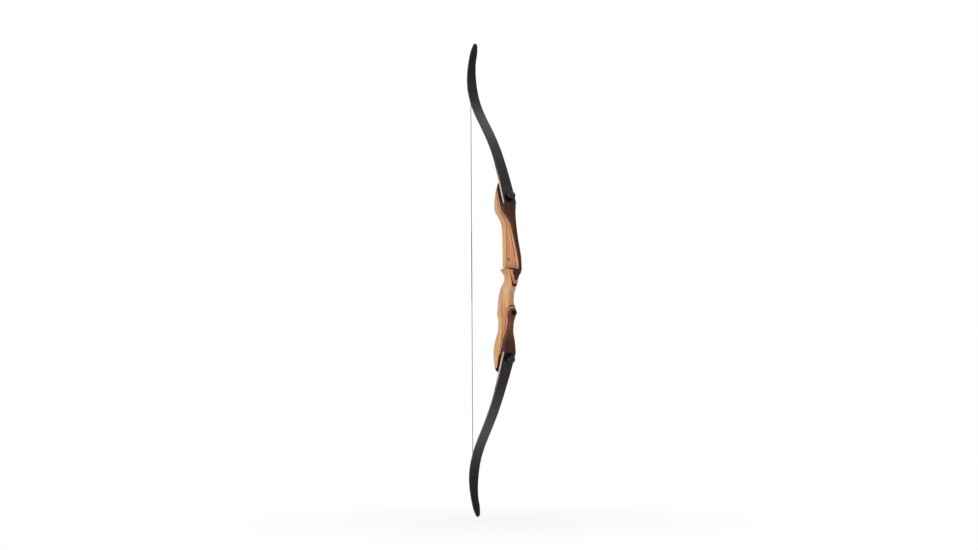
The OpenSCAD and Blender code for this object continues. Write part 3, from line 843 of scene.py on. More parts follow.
@dataclass(frozen=True)
class Fibre(Finish):
    """Waxed bowstring fibre or serving thread."""

    tone: Triple = (0.012, 0.012, 0.014)
    worn: Triple = (0.06, 0.058, 0.056)

    def paint(self, tree: Tree) -> None:
        """Wire single fibres, wax and fluff.

        Args:
            tree: The new material's nodes.
        """
        fibre = tree.noise(PER_MM, 3.5, 4.0, 0.7)
        wax = tree.spanned(tree.noise(PER_MM, 0.09, 3.0, 0.5), 0.45, 0.75, 0.0, 0.4)
        tint = tree.ramp(fibre, (0.35, self.tone), (0.72, mixed(self.tone, self.worn, 0.4)))
        tree.surface(Base_Color=tree.blended(wax, tint, self.worn),
                     Roughness=tree.spanned(fibre, 0.3, 0.7, 0.45, 0.7),
                     Normal=tree.bumped(fibre, 0.4, 0.00006), Sheen_Weight=0.02,
                     Sheen_Roughness=0.4, Specular_IOR_Level=0.25)


# HONEY, HONEY_BELLY, RED and PALE carry painted shade in the shelf corner; HONEY also carries a
# painted sheen, a lighter band at the grip.
HONEY = Wood("honey_wood", "light_wood", (0.60, 0.268, 0.090), (0.375, 0.125, 0.030), 1.0,
             streak=0.36, grime=True, pale_at=-44.0, pale=(0.80, 0.55, 0.32), pale_share=0.5)
HONEY_BELLY = Wood("honey_wood_belly", "light_wood", (0.66, 0.345, 0.138),
                   (0.445, 0.187, 0.057), 2.6, streak=0.25, grime=True)
VENEER = Wood("brown_veneer_wood", "brown_veneer", (0.13, 0.022, 0.002), (0.07, 0.010, 0.001),
              4.0, gloss=0.0, shine=0.03)
RED = Wood("red_stripe_wood", "red_wood", (0.15, 0.022, 0.005), (0.07, 0.009, 0.003), 7.0,
           gloss=0.02, shine=0.06, grime=True)
PALE = Wood("pale_stripe_wood", "pale_wood", (0.62, 0.31, 0.19), (0.42, 0.17, 0.09), 11.0,
            streak=0.25, grime=True)
# DARK carries a painted reflection: a light brown band under the stabilizer boss.
DARK = Wood("dark_front_wood", "dark_wood", (0.085, 0.029, 0.015), (0.032, 0.010, 0.005), 15.0,
            gloss=0.05, shine=0.12, pale_at=-146.0)
LIMB_WOOD = Wood("limb_core_wood", "limb_wood", (0.78, 0.59, 0.46), (0.60, 0.41, 0.29), 19.0,
                 streak=0.25, black_from=292.0, black_at=352.0)
BUTT_WOOD = Wood("butt_wedge_wood", "hardwood", (0.32, 0.14, 0.06), (0.16, 0.06, 0.025), 23.0)
# Both finishes keep the default painted reflection low on the lower limb and the painted shade
# towards the tips.
GLASS = GlassLaminate("limb_face_glass", "limb_glass")
TIP = GlassLaminate("tip_laminate_black", "tip_laminate", (0.005, 0.005, 0.006),
                    (0.011, 0.011, 0.012))
BLACK_WEDGE = Laminate("black_wedge_laminate", "black_laminate")
KNOB = Moulded("knob_black", "knob_plastic")
BRASS = Metal("turned_brass", "brass", (0.78, 0.56, 0.24), (0.42, 0.26, 0.10))
AGED_BRASS = Metal("aged_brass", "brass", (0.40, 0.15, 0.05), (0.22, 0.08, 0.03), 0.4)
ZINC = Metal("plated_steel", "steel", (0.66, 0.66, 0.66), (0.4, 0.38, 0.34))
BLACK_OXIDE = Metal("black_oxide_steel", "black_steel", (0.016, 0.016, 0.018),
                    (0.035, 0.03, 0.026), 0.32)
STRING_FIBRE = Fibre("string_fibre_black", "string_fibre")
SERVING = Fibre("serving_thread_black", "serving_fibre", worn=(0.07, 0.07, 0.07))


@dataclass
class Riser:
    """The laminated riser: a carved form, the strips that it is glued from, its cuts."""

    top: float = 298.5
    bottom: float = 301.0
    butt_z: float = BUTT_Z
    half_pad: float = HALF_PAD
    half_body: float = 20.0
    half_waist: float = 15.5
    half_palm: float = 17.0
    half_throat: float = 14.5
    grip_depth: float = 54.6
    belly_reach: float = 28.2
    heel_reach: float = 36.8
    shelf_z: float = 27.0
    shelf_front: float = 61.0
    shelf_crown: float = 0.0031
    shelf_crest_x: float = 15.0
    shelf_crown_reach: float = 16.0
    shelf_edge: float = 1.4
    shelf_fillet: float = 0.7
    window_edge: float = 5.0
    past_centre: float = 2.0
    window_flat_z: float = 109.0
    window_end_z: float = 215.0
    window_sweep: float = 4.3
    window_soften: tuple[float, float] = (149.0, 199.0)
    stripe_x: float = 46.5
    stripe_z: float = 20.0
    stripe_bend: float = 50.0
    slope_up: float = 0.35
    slope_down: float = 0.28
    red_thick: float = 3.0
    pale_thick: float = 4.0
    pale_thin: float = 0.6
    dark_x: float = 58.5
    dark_z: float = 34.0
    dark_bend: float = 30.0
    dark_slope: float = 0.37
    veneer_x: float = -1.5
    veneer_thick: float = 2.0
    carve_z: float = -50.0
    strip_foot: float = -24.0
    plunger: tuple[float, float] = (8.5, 56.0)
    plunger_r: float = 6.0
    boss_z: float = 110.0
    boss_reach: float = 38.5
    bushing_length: float = 24.0
    boss_r: float = 6.0
    flange_r: float = 8.5
    sharp: float = 28.0
    step: float = 1.8
    past_ends: float = 8.0
    far: float = 400.0

    def rows(self) -> Rows:
        """Give the form's stations, from the bottom to the top.

        Returns:
            Rows of height, belly, front, half width, belly radius and front radius.
        """
        pad, body, waist = self.half_pad, self.half_body, self.half_waist
        palm, throat, boss = self.half_palm, self.half_throat, self.boss_z
        heel, reach, belly = -self.heel_reach, self.boss_reach, -self.belly_reach
        depth, front = self.grip_depth, self.shelf_front
        return Rows([
            [-self.bottom, -31, 20, pad - 4, 9, 3],
            [-293, -37.4, 20, pad - 2.2, 9, 3],
            [-281, -41, 20, pad - 1.2, 8, 3],
            [-264, -44.6, 20, pad - 0.4, 7, 3],
            [-238, -47, 19, pad, 6, 3],
            [-220, -46.2, 18.2, pad - 0.6, 6, 4],
            [-200, -41.8, 17.8, pad - 1.4, 8, 6],
            [-182, -36.8, 17.5, mix(waist, pad, 0.45), 9, 8],
            [-165, -32.8, 20, waist, 9, 10],
            [-151, -31.2, 22.5, waist - 0.2, 9, 11],
            [-135, -30.6, 26, waist + 0.5, 10, 12],
            [-126, -32, 28.6, palm + 0.2, 11, 12],
            [-boss - 8.7, heel + 1, reach - 4.9, palm + 0.4, 12, 12],
            [-boss - 3.7, heel, reach - 1.1, palm + 0.2, 12, 11],
            [-boss, heel, reach, palm, 12, 10],
            [-boss + 4.8, heel + 0.6, reach - 1.1, palm, 12, 11],
            [-boss + 11.8, heel + 1.6, reach - 5.3, palm, 12, 12],
            [-88, -34.3, 28.8, palm - 0.3, 13, 13],
            [-79, -33.6, 24.6, palm - 0.6, 13, 13],
            [-70, -32.8, 24, palm - 1, 13, 13],
            [-60.5, -31.2, 25, palm - 1.2, 13, 13],
            [-50.5, -28.4, 27.8, palm - 1.5, 13, 13],
            [-41.5, -24.6, 32.6, throat + 0.8, 13, 13],
            [-32.5, -19.6, 38.6, throat + 0.4, 13, 13],
            [-23, -12.4, depth - 10.2, throat + 0.2, 13, 13],
            [-14, -4.6, depth - 6.6, throat, 13, 12],
            [-5, -0.5, depth - 2.6, throat + 0.1, 13, 12],
            [2.7, 0, depth, throat + 0.6, 12, 12],
            [9.5, -4, depth + 3, throat + 1.4, 12, 11],
            [16.5, -10, front - 0.8, throat + 2.6, 13, 10],
            [22.5, -15.4, front - 0.2, body - 2.4, 15, 10],
            [self.shelf_z, belly + 8.8, front, body - 0.8, 16, 10],
            [34, belly + 2.4, front - 0.4, body - 0.2, 12, 9.5],
            [44, belly, front - 1.4, body, 8, 9],
            [61, belly, 57.2, body, 6.5, 8],
            [80, belly + 0.2, 52.8, body, 5.5, 8],
            [97, belly, 47.6, body, 5, 8],
            [116, belly - 0.2, 42, body + 0.2, 5, 8],
            [135, -29.2, 36.9, body + 0.5, 5, 8],
            [154, -31, 32.6, body + 0.9, 5, 8],
            [173, -33.2, 28, body + 1.3, 6, 7],
            [192, -35, 24.2, pad - 0.4, 6, 6],
            [208, -36.2, 22.8, pad, 6, 5],
            [self.butt_z - 2, -37.6, 23.2, pad, 6, 3],
            [243, -37.4, 24, pad - 0.1, 7, 3],
            [257, -35.4, 24, pad - 0.5, 8, 3],
            [271, -32.2, 24, pad - 1.2, 9, 3],
            [285, -28, 24, pad - 2.4, 10, 3],
            [self.top, -22.6, 24, pad - 4, 10, 3]])

    def window_side(self, z: float, full: float) -> float:
        """Give the half width to the right above the shelf, from the uncut half width."""
        t = float(ease(z, self.window_flat_z, self.window_end_z))
        return min(full, mix(-self.past_centre, self.half_pad + 1, t ** self.window_sweep))

    @staticmethod
    def outline(belly: float, front: float, right: float, left: float,
                radii: Sequence[float]) -> np.ndarray:
        """Give one section's outline, with the same count of points for any sizes.

        Args:
            belly: Its place on the archer's side.
            front: Its place on the target side.
            right: Its reach to the archer's right.
            left: Its reach to the archer's left.
            radii: Corner radii, front left, belly left, belly right and front right.

        Returns:
            Points of x and y.
        """
        wide = (left + right) / 2 - 0.05
        fl, bl, br, fr = (min(r, wide) for r in radii)
        centres = [(front - fl, left - fl, fl), (belly + bl, left - bl, bl),
                   (belly + br, -right + br, br), (front - fr, -right + fr, fr)]
        corners = [rounded(x, y, r, arc(90 * k, 90 * k + 90, 9))
                   for k, (x, y, r) in enumerate(centres)]
        return looped(corners, (6, 4, 6, 4))

    def ring(self, rows: Rows, z: float, right: Optional[float], cut: float) -> np.ndarray:
        """Give the form's ring at one height.

        Args:
            rows: The form's stations.
            z: Height.
            right: Half width to the right, or None for the uncut one.
            cut: How much of the window's own edges the right corners have, 0 to 1.

        Returns:
            Points of the ring.
        """
        belly, front, half, rb, rf = rows.at(z)
        radii = (rf, rb, mix(rb, self.window_edge, cut), mix(rf, self.window_edge + 2.0, cut))
        xy = self.outline(belly, front, half if right is None else right, half, radii)
        near = np.exp(-((z - self.shelf_z) / self.shelf_crown_reach) ** 2)
        drop = self.shelf_crown * near * (xy[:, 0] - self.shelf_crest_x) ** 2
        return np.column_stack([xy, z - drop])

    def form(self) -> Obj:
        """Build the whole carved form as one skin.

        Returns:
            The form.
        """
        rows, shelf, inner = self.rows(), self.shelf_z, -self.past_centre
        edge, fillet = self.shelf_edge, self.shelf_fillet
        rim = float(rows.at(shelf)[2]) - edge
        below = np.arange(-self.bottom, shelf - edge - 0.6, self.step)
        spots = [(z, None, 0.0) for z in below]
        spots += [(shelf - edge + edge * math.sin(a), rim + edge * math.cos(a), 0.0)
                  for a in arc(0, 90, 6)]
        spots += [(shelf, mix(rim, fillet + inner, t), t) for t in (0.35, 0.7)]
        spots += [(shelf + fillet - fillet * math.cos(a), inner + fillet * (1 - math.sin(a)), 1.0)
                  for a in arc(0, 90, 5)]
        for z in np.linspace(shelf + fillet, self.top, 150)[1:]:
            right = self.window_side(z, float(rows.at(z)[2]))
            spots.append((z, right, 1.0 - float(ease(z, *self.window_soften))))
        return Workshop.lofted("riser_form", np.array([self.ring(rows, *s) for s in spots]))

    def stripe(self, z: float) -> float:
        """Give the place of the red stripe's back face at one height."""
        slope = self.slope_up if z > self.stripe_z else self.slope_down
        return self.stripe_x - slope * (math.hypot(z - self.stripe_z, self.stripe_bend)
                                        - self.stripe_bend)

    def red_front(self, z: float) -> float:
        """Give the place of the red stripe's front face at one height."""
        return self.stripe(z) + self.red_thick

    def dark_back(self, end: End, z: float) -> float:
        """Give the place of the dark block's back face.

        Args:
            end: The half of the riser.
            z: The height.

        Returns:
            Its place along X.
        """
        if end is End.LOWER:
            return self.red_front(z) + self.pale_thick
        bent = math.hypot(z - self.dark_z, self.dark_bend) - self.dark_bend
        return max(self.red_front(z) + self.pale_thin, self.dark_x - self.dark_slope * bent)

    def heights(self, end: End, full: bool) -> np.ndarray:
        """Give the heights at which the strips' faces are given, the same ones for all of them.

        Args:
            end: The half of the riser.
            full: Whether the upper half starts at the carved hollow, or at the strips' foot.

        Returns:
            The heights, in rising order.
        """
        if end is End.LOWER:
            return np.linspace(-self.bottom - self.past_ends, self.carve_z, 90)
        foot = np.linspace(self.strip_foot, self.top + self.past_ends, 180)
        hollow = np.linspace(self.carve_z, self.strip_foot, 18)[:-1]
        return np.concatenate([hollow, foot]) if full else foot

    @staticmethod
    def strip(heights: np.ndarray, back: Face, front: Face) -> Obj:
        """Make the prism of one glued strip, from its faces' places at some heights."""
        line = [(back(v), v) for v in heights]
        return Workshop.prism("strip", line + [(front(v), v) for v in heights[::-1]])

    def behind(self) -> Obj:
        """Make the prism of all that lies behind the stripes."""
        z = np.concatenate([self.heights(End.LOWER, True), self.heights(End.UPPER, True)[1:]])
        return self.strip(z, self.stripe, lambda _: -self.far)

    def cutters(self, limbs: Sequence["Limb"]) -> list[Obj]:
        """Make what is taken off the wood: pockets, wedges and holes.

        Args:
            limbs: Both limbs, whose seats are cut.

        Returns:
            The cutting pieces.
        """
        tools = []
        for limb in limbs:
            tools += [limb.pocket(), limb.no_wood(), *limb.seat_holes()]
        plunger = Place((self.plunger[0], 0, self.plunger[1]), (0, 1, 0))
        boss = Place((self.boss_reach, 0, -self.boss_z), (1, 0, 0))
        return tools + [Workshop.rod(plunger, self.plunger_r, -60, 60),
                        Workshop.rod(boss, self.boss_r, -self.bushing_length, 30),
                        Workshop.rod(boss, self.flange_r, -1, 31)]

    def build(self, limbs: Sequence["Limb"]) -> None:
        """Build and dress every wooden piece of the riser.

        Args:
            limbs: Both limbs, whose seats the riser carries.
        """
        form = self.form()
        for limb in limbs:
            limb.build_wedge(form)
        for tool in self.cutters(limbs):
            Workshop.cut(form, tool)
        rear = Workshop.copied(form, "riser_rear")
        Workshop.cut(rear, self.behind(), Cut.KEPT)
        far, face, back = self.far, self.veneer_x, self.veneer_x - self.veneer_thick
        cuts = [(name, rear, Workshop.prism("block", [(a, c), (b, c), (b, d), (a, d)]), finish)
                for name, a, b, c, d, finish in (
                    ("core_block", face, far, -far, far, HONEY),
                    ("upper_belly_block", -far, back, 0, far, HONEY_BELLY),
                    ("lower_belly_block", -far, back, -far, 0, HONEY_BELLY),
                    ("upper_veneer", back, face, 0, far, VENEER),
                    ("lower_veneer", back, face, -far, 0, VENEER))]
        for end in End:
            tall, short = self.heights(end, True), self.heights(end, False)
            dark = partial(self.dark_back, end)
            cuts += [(f"{end.word}_{name}", form, self.strip(*faces), finish)
                     for name, faces, finish in (
                         ("red_stripe", (tall, self.stripe, self.red_front), RED),
                         ("pale_stripe", (short, self.red_front, dark), PALE),
                         ("front_block", (short, dark, lambda _: far), DARK))]
        for name, whole, prism, finish in cuts:
            piece = Workshop.copied(whole, f"riser_{name}_wood")
            Workshop.cut(piece, prism, Cut.KEPT)
            Workshop.dressed(piece, finish, self.sharp)
        Workshop.dropped(rear)
        Workshop.dropped(form)


@dataclass
class Limb:
    """One limb with its layers, its seat on the riser and its tip."""

    end: End
    pad_x: float
    pad_tilt: float
    mid_tilt: float
    butt_z: float = BUTT_Z
    tip_tilt: float = -22.5
    length: float = 574.5
    pad_length: float = 72.0
    bend_end: float = 296.0
    curl_start: float = 294.0
    curl_end: float = 592.0
    butt_thick: float = 9.0
    mid_thick: float = 6.6
    tip_thick: float = 5.4
    thin_from: float = 414.0
    glass_thick: float = 1.0
    glass_edge: float = 0.7
    glue_edge: float = 0.06
    half_butt: float = HALF_PAD
    half_mid: float = 17.6
    half_nock: float = 11.0
    taper_end: float = 170.0
    curl_taper: tuple[float, float] = (415.0, 567.0)
    nose_length: float = 42.0
    nose_share: float = 0.62
    nose_power: float = 2.2
    close_rings: float = 48.0
    end_round: float = 4.0
    end_share: float = 0.92
    overlay_thick: float = 3.0
    overlay_length: float = 62.0
    overlay_rise: float = 24.0
    overlay_lip: float = 0.06
    overlay_fall: tuple[float, float] = (10.0, 0.35)
    overlay_edges: tuple[float, float] = (0.05, 1.1)
    nock_seat: float = 26.0
    nock_depth: float = 2.2
    groove_r: float = 1.8
    bolt_seat: float = 18.0
    bolt_hole_r: float = 4.5
    pin_seat: float = 54.0
    pin_hole_r: float = 3.1
    butt_wedge_length: float = 70.0
    butt_wedge_thick: float = 3.0
    butt_wedge_past: float = 11.0
    insert_r: float = 6.0
    insert_length: float = 20.0
    pin_r: float = 3.0
    pin_depth: float = 9.0
    wedge_point: float = 2.5
    wedge_thick: float = 12.5
    wedge_thin: float = 11.0
    wedge_rise: float = 9.0
    black_tip: float = 10.0
    tip_flat: float = 6.0
    tip_round: float = 20.0
    sharp: float = 28.0
    far: float = 100.0
    line: np.ndarray = field(init=False, repr=False)

    def __post_init__(self) -> None:
        """Sum the middle line from the lean, a point for each millimetre."""
        lean = np.radians(self.tilt(np.arange(0, self.length + 2) + 0.5))
        start = np.array([self.pad_x, self.butt_z]) + self.forward(0.0) * self.butt_thick / 2
        steps = np.cumsum(np.column_stack([-np.sin(lean), np.cos(lean)]), axis=0)
        self.line = np.vstack([start, start + steps])

    def tilt(self, s: np.ndarray) -> np.ndarray:
        """Give the limb's lean from upright, in degrees, along its length."""
        bent = mix(self.pad_tilt, self.mid_tilt, ease(s, self.pad_length, self.bend_end))
        return bent + (self.tip_tilt - self.mid_tilt) * ease(s, self.curl_start, self.curl_end)

    def forward(self, s: float) -> np.ndarray:
        """Give the direction out of the limb's front face, as x and z."""
        a = math.radians(float(self.tilt(s)))
        return np.array([math.cos(a), math.sin(a)])

    def middle(self, s: float) -> np.ndarray:
        """Give the middle line's point at one distance from the butt."""
        i = min(max(int(s), 0), len(self.line) - 2)
        return mix(self.line[i], self.line[i + 1], s - i)

    def thick(self, s: float) -> float:
        """Give the limb's thickness along its length."""
        inner = mix(self.butt_thick, self.mid_thick, ease(s, self.pad_length, self.curl_start))
        return float(mix(inner, self.tip_thick, ease(s, self.curl_start, self.thin_from)))

    def half_width(self, s: float, grooved: bool = True) -> float:
        """Give half of the limb's width along its length.

        Args:
            s: Distance from the butt.
            grooved: Whether the nock grooves are cut in.

        Returns:
            Half of the width.
        """
        body = mix(self.half_butt, self.half_mid, ease(s, 0.0, self.taper_end))
        curl = (self.half_mid - self.half_nock) * ease(s, *self.curl_taper)
        nose = max(0.0, (s - self.length + self.nose_length) / self.nose_length)
        half = float((body - curl) * (1 - self.nose_share * nose ** self.nose_power))
        past = max(0.0, (s - self.length + self.end_round) / self.end_round)
        half *= math.sqrt(max(0.0, 1 - self.end_share * past * past))
        off = abs(s - self.length + self.nock_seat)
        if grooved and off < self.groove_r:
            half -= self.nock_depth - (self.groove_r - math.sqrt(self.groove_r ** 2 - off ** 2))
        return half

    def face(self, side: int, under: float, s: float) -> float:
        """Give a face's place from the middle line, some way under the front 1 or back -1."""
        return side * (self.thick(s) / 2 - under)

    def overlay_out(self, s: float) -> float:
        """Give the overlay face's distance from the middle line.

        Args:
            s: Distance from the butt.

        Returns:
            The distance.
        """
        past, (reach, share) = s - self.length, self.overlay_fall
        rise = ease(past, -self.overlay_length, self.overlay_rise - self.overlay_length)
        fall = 1 - share * float(ease(past, -reach, 0.0))
        rise = max(self.overlay_lip, float(rise))
        return self.face(1, 0.0, s) + self.overlay_thick * rise * fall

    def at(self, s: float, out: float, y: float = 0.0) -> np.ndarray:
        """Give a point of the bow from its distances along, in front and to the left."""
        x, z = self.middle(s) + self.forward(s) * out
        return np.array([x, y, z * self.end.value])

    def stations(self, start: float) -> np.ndarray:
        """Give the distances of the rings, close together at the nock and the tip.

        Args:
            start: The first distance.

        Returns:
            The distances, in rising order.
        """
        nock, close = self.length - self.nock_seat, self.length - self.close_rings
        s = np.concatenate([np.linspace(0, close, 190),
                            np.arange(close + 2, nock - 2.2, 1.6),
                            nock + self.groove_r * np.sin(arc(-90, 90, 17)),
                            np.arange(nock + 3, self.length - 4.5, 1.4),
                            self.length - self.end_round * (1 - np.sin(arc(0, 90, 9)))])
        s = np.unique(np.round(s, 4))
        return s[s >= start]

    def section(self, s: float, back: float, front: float,
                edges: tuple[float, float]) -> tuple[np.ndarray, np.ndarray]:
        """Give one ring of a layer and its map.

        Args:
            s: Distance from the butt.
            back: The layer's back, from the middle line.
            front: The layer's front.
            edges: Radii of its back and front edges.

        Returns:
            The ring's points and their map in metres.
        """
        w = self.half_width(s)
        rb, rf = (min(r, (front - back) * 0.95, w * 0.9) for r in edges)
        loop = looped([rounded(w - rf, front - rf, rf, arc(90, 0, 5)),
                       rounded(w - rb, back + rb, rb, arc(360, 270, 5)),
                       rounded(rb - w, back + rb, rb, arc(270, 180, 5)),
                       rounded(rf - w, front - rf, rf, arc(180, 90, 5))], (0, 5, 0, 5))
        ring = np.array([self.at(s, out, y) for y, out in loop])
        return ring, np.array([(y + out, s) for y, out in loop]) * MM

    def layer(self, name: str, start: float, back: Face, front: Face,
              edges: tuple[float, float]) -> Obj:
        """Sweep one layer along the limb.

        Args:
            name: Name of the piece.
            start: Where it starts, from the butt.
            back: Gives its back at a distance.
            front: Gives its front at a distance.
            edges: Radii of its back and front edges.

        Returns:
            The layer.
        """
        rings, maps = zip(*(self.section(s, back(s), front(s), edges)
                            for s in self.stations(start)))
        return Workshop.lofted(name, np.array(rings), np.vstack(maps))

    def axis(self) -> Triple:
        """Give the direction straight out of the pad."""
        a = math.radians(self.pad_tilt)
        return (math.cos(a), 0.0, math.sin(a) * self.end.value)

    def pad_place(self, along: float, out: float = 0.0) -> Place:
        """Give a place on the pad or in front of it, with its axis straight out.

        Args:
            along: Distance from the butt along the pad.
            out: Distance in front of the pad.

        Returns:
            The place.
        """
        a = math.radians(self.pad_tilt)
        x = self.pad_x - along * math.sin(a) + out * math.cos(a)
        z = self.butt_z + along * math.cos(a) + out * math.sin(a)
        return Place((x, 0.0, z * self.end.value), self.axis())

    def pad_prism(self, name: str, outline: Profile) -> Obj:
        """Make a prism across the bow from an outline of out and along on the pad."""
        points = [self.pad_place(along, out).origin for out, along in outline]
        return Workshop.prism(name, [(p[0], p[2]) for p in points])

    def pocket(self) -> Obj:
        """Make what the limb's seat takes off the riser."""
        far = self.far
        return self.pad_prism("pocket", [(0, -0.3), (far, -0.3), (far, 2 * far), (0, 2 * far)])

    def wedge_edge(self) -> list[tuple[float, float]]:
        """Give the black wedge's back edge from its point to the wood's end.

        Returns:
            Points of out and along.
        """
        t = np.linspace(0, 1, 40)
        swell = self.wedge_thick - mix(self.wedge_point, self.wedge_thin, 0.4)
        depth = mix(self.wedge_point, self.wedge_thin, t) + swell * np.sin(math.pi * t ** 0.75)
        along = mix(-self.wedge_rise, self.pad_length - self.black_tip, t)
        return [(2.0, self.wedge_rise / 2)] + [(-float(d), float(a)) for d, a in zip(depth, along)]

    def wedge_tool(self) -> Obj:
        """Make the black wedge's form with the riser's rounded black tip, across the bow.

        Returns:
            The form.
        """
        end, tip = self.pad_length, self.black_tip
        shape = self.wedge_edge() + [(-self.far, end - tip), (-self.far, end - tip + 1)]
        shape += [(-self.tip_flat - self.tip_round * math.sin(a),
                   end - (tip - 1) * (1 - math.cos(a))) for a in arc(90, 0, 13)]
        return self.pad_prism("wedge", shape + [(2.0, end)])

    def no_wood(self) -> Obj:
        """Make all that the black wedge and tip take off the wood."""
        beyond = [(-self.far, self.pad_length - self.black_tip), (-self.far, 2 * self.far)]
        return self.pad_prism("no_wood", self.wedge_edge() + beyond + [(2.0, 2 * self.far)])

    def seat_holes(self) -> list[Obj]:
        """Make the holes in the riser for the insert and the pin."""
        insert, pin = self.pad_place(self.bolt_seat), self.pad_place(self.pin_seat)
        return [Workshop.rod(insert, self.insert_r, -self.insert_length, 1),
                Workshop.rod(pin, self.pin_r, -self.pin_depth, 1)]

    def butt_prism(self) -> Obj:
        """Make the thin wedge between the core's halves.

        Returns:
            The wedge.
        """
        length, past, c = self.butt_wedge_length, self.butt_wedge_past, self.butt_thick / 2
        half = self.butt_wedge_thick / 2 * (1 + past / length)
        return self.pad_prism("butt", [(c, length), (c - half, -past), (c + half, -past)])

    def build_wedge(self, form: Obj) -> None:
        """Build the black wedge from the riser's form.

        Args:
            form: The whole riser's form, which stays as it is.
        """
        piece = Workshop.copied(form, f"{self.end.word}_pad_wedge_black")
        Workshop.cut(piece, self.wedge_tool(), Cut.KEPT)
        for tool in [self.pocket(), *self.seat_holes()]:
            Workshop.cut(piece, tool)
        Workshop.dressed(piece, BLACK_WEDGE, self.sharp)

    def build(self) -> None:
        """Build and dress the limb's layers, its butt wedge and its tip overlay."""
        word, glass, glue = self.end.word, self.glass_thick, self.glue_edge
        bolt, pin = self.pad_place(self.bolt_seat), self.pad_place(self.pin_seat)
        for layer, low, high, edges, finish in (
                (Layer.FRONT_GLASS, (1, glass), (1, 0.0), (glue, self.glass_edge), GLASS),
                (Layer.CORE, (-1, glass), (1, glass), (glue, glue), LIMB_WOOD),
                (Layer.BELLY_GLASS, (-1, 0.0), (-1, glass), (self.glass_edge, glue), GLASS)):
            piece = self.layer(f"{word}_limb_{layer.value}_laid", 0.0, partial(self.face, *low),
                               partial(self.face, *high), edges)
            Workshop.cut(piece, Workshop.rod(bolt, self.bolt_hole_r, -3, 30))
            if layer is not Layer.FRONT_GLASS:
                depth = self.butt_thick - glass
                Workshop.cut(piece, Workshop.rod(pin, self.pin_hole_r, -3, depth))
            if layer is Layer.CORE:
                wedge = self.butt_prism()
                inner = Workshop.copied(piece, f"{word}_limb_butt_wedge_wood")
                Workshop.cut(inner, wedge, Cut.KEPT, keep_tool=True)
                Workshop.dressed(inner, BUTT_WOOD, self.sharp)
                Workshop.cut(piece, wedge)
            Workshop.dressed(piece, finish, self.sharp)
        tip = self.layer(f"{word}_tip_overlay_laid", self.length - self.overlay_length - 4,
                         partial(self.face, 1, 0.0), self.overlay_out, self.overlay_edges)
        Workshop.dressed(tip, TIP, self.sharp)


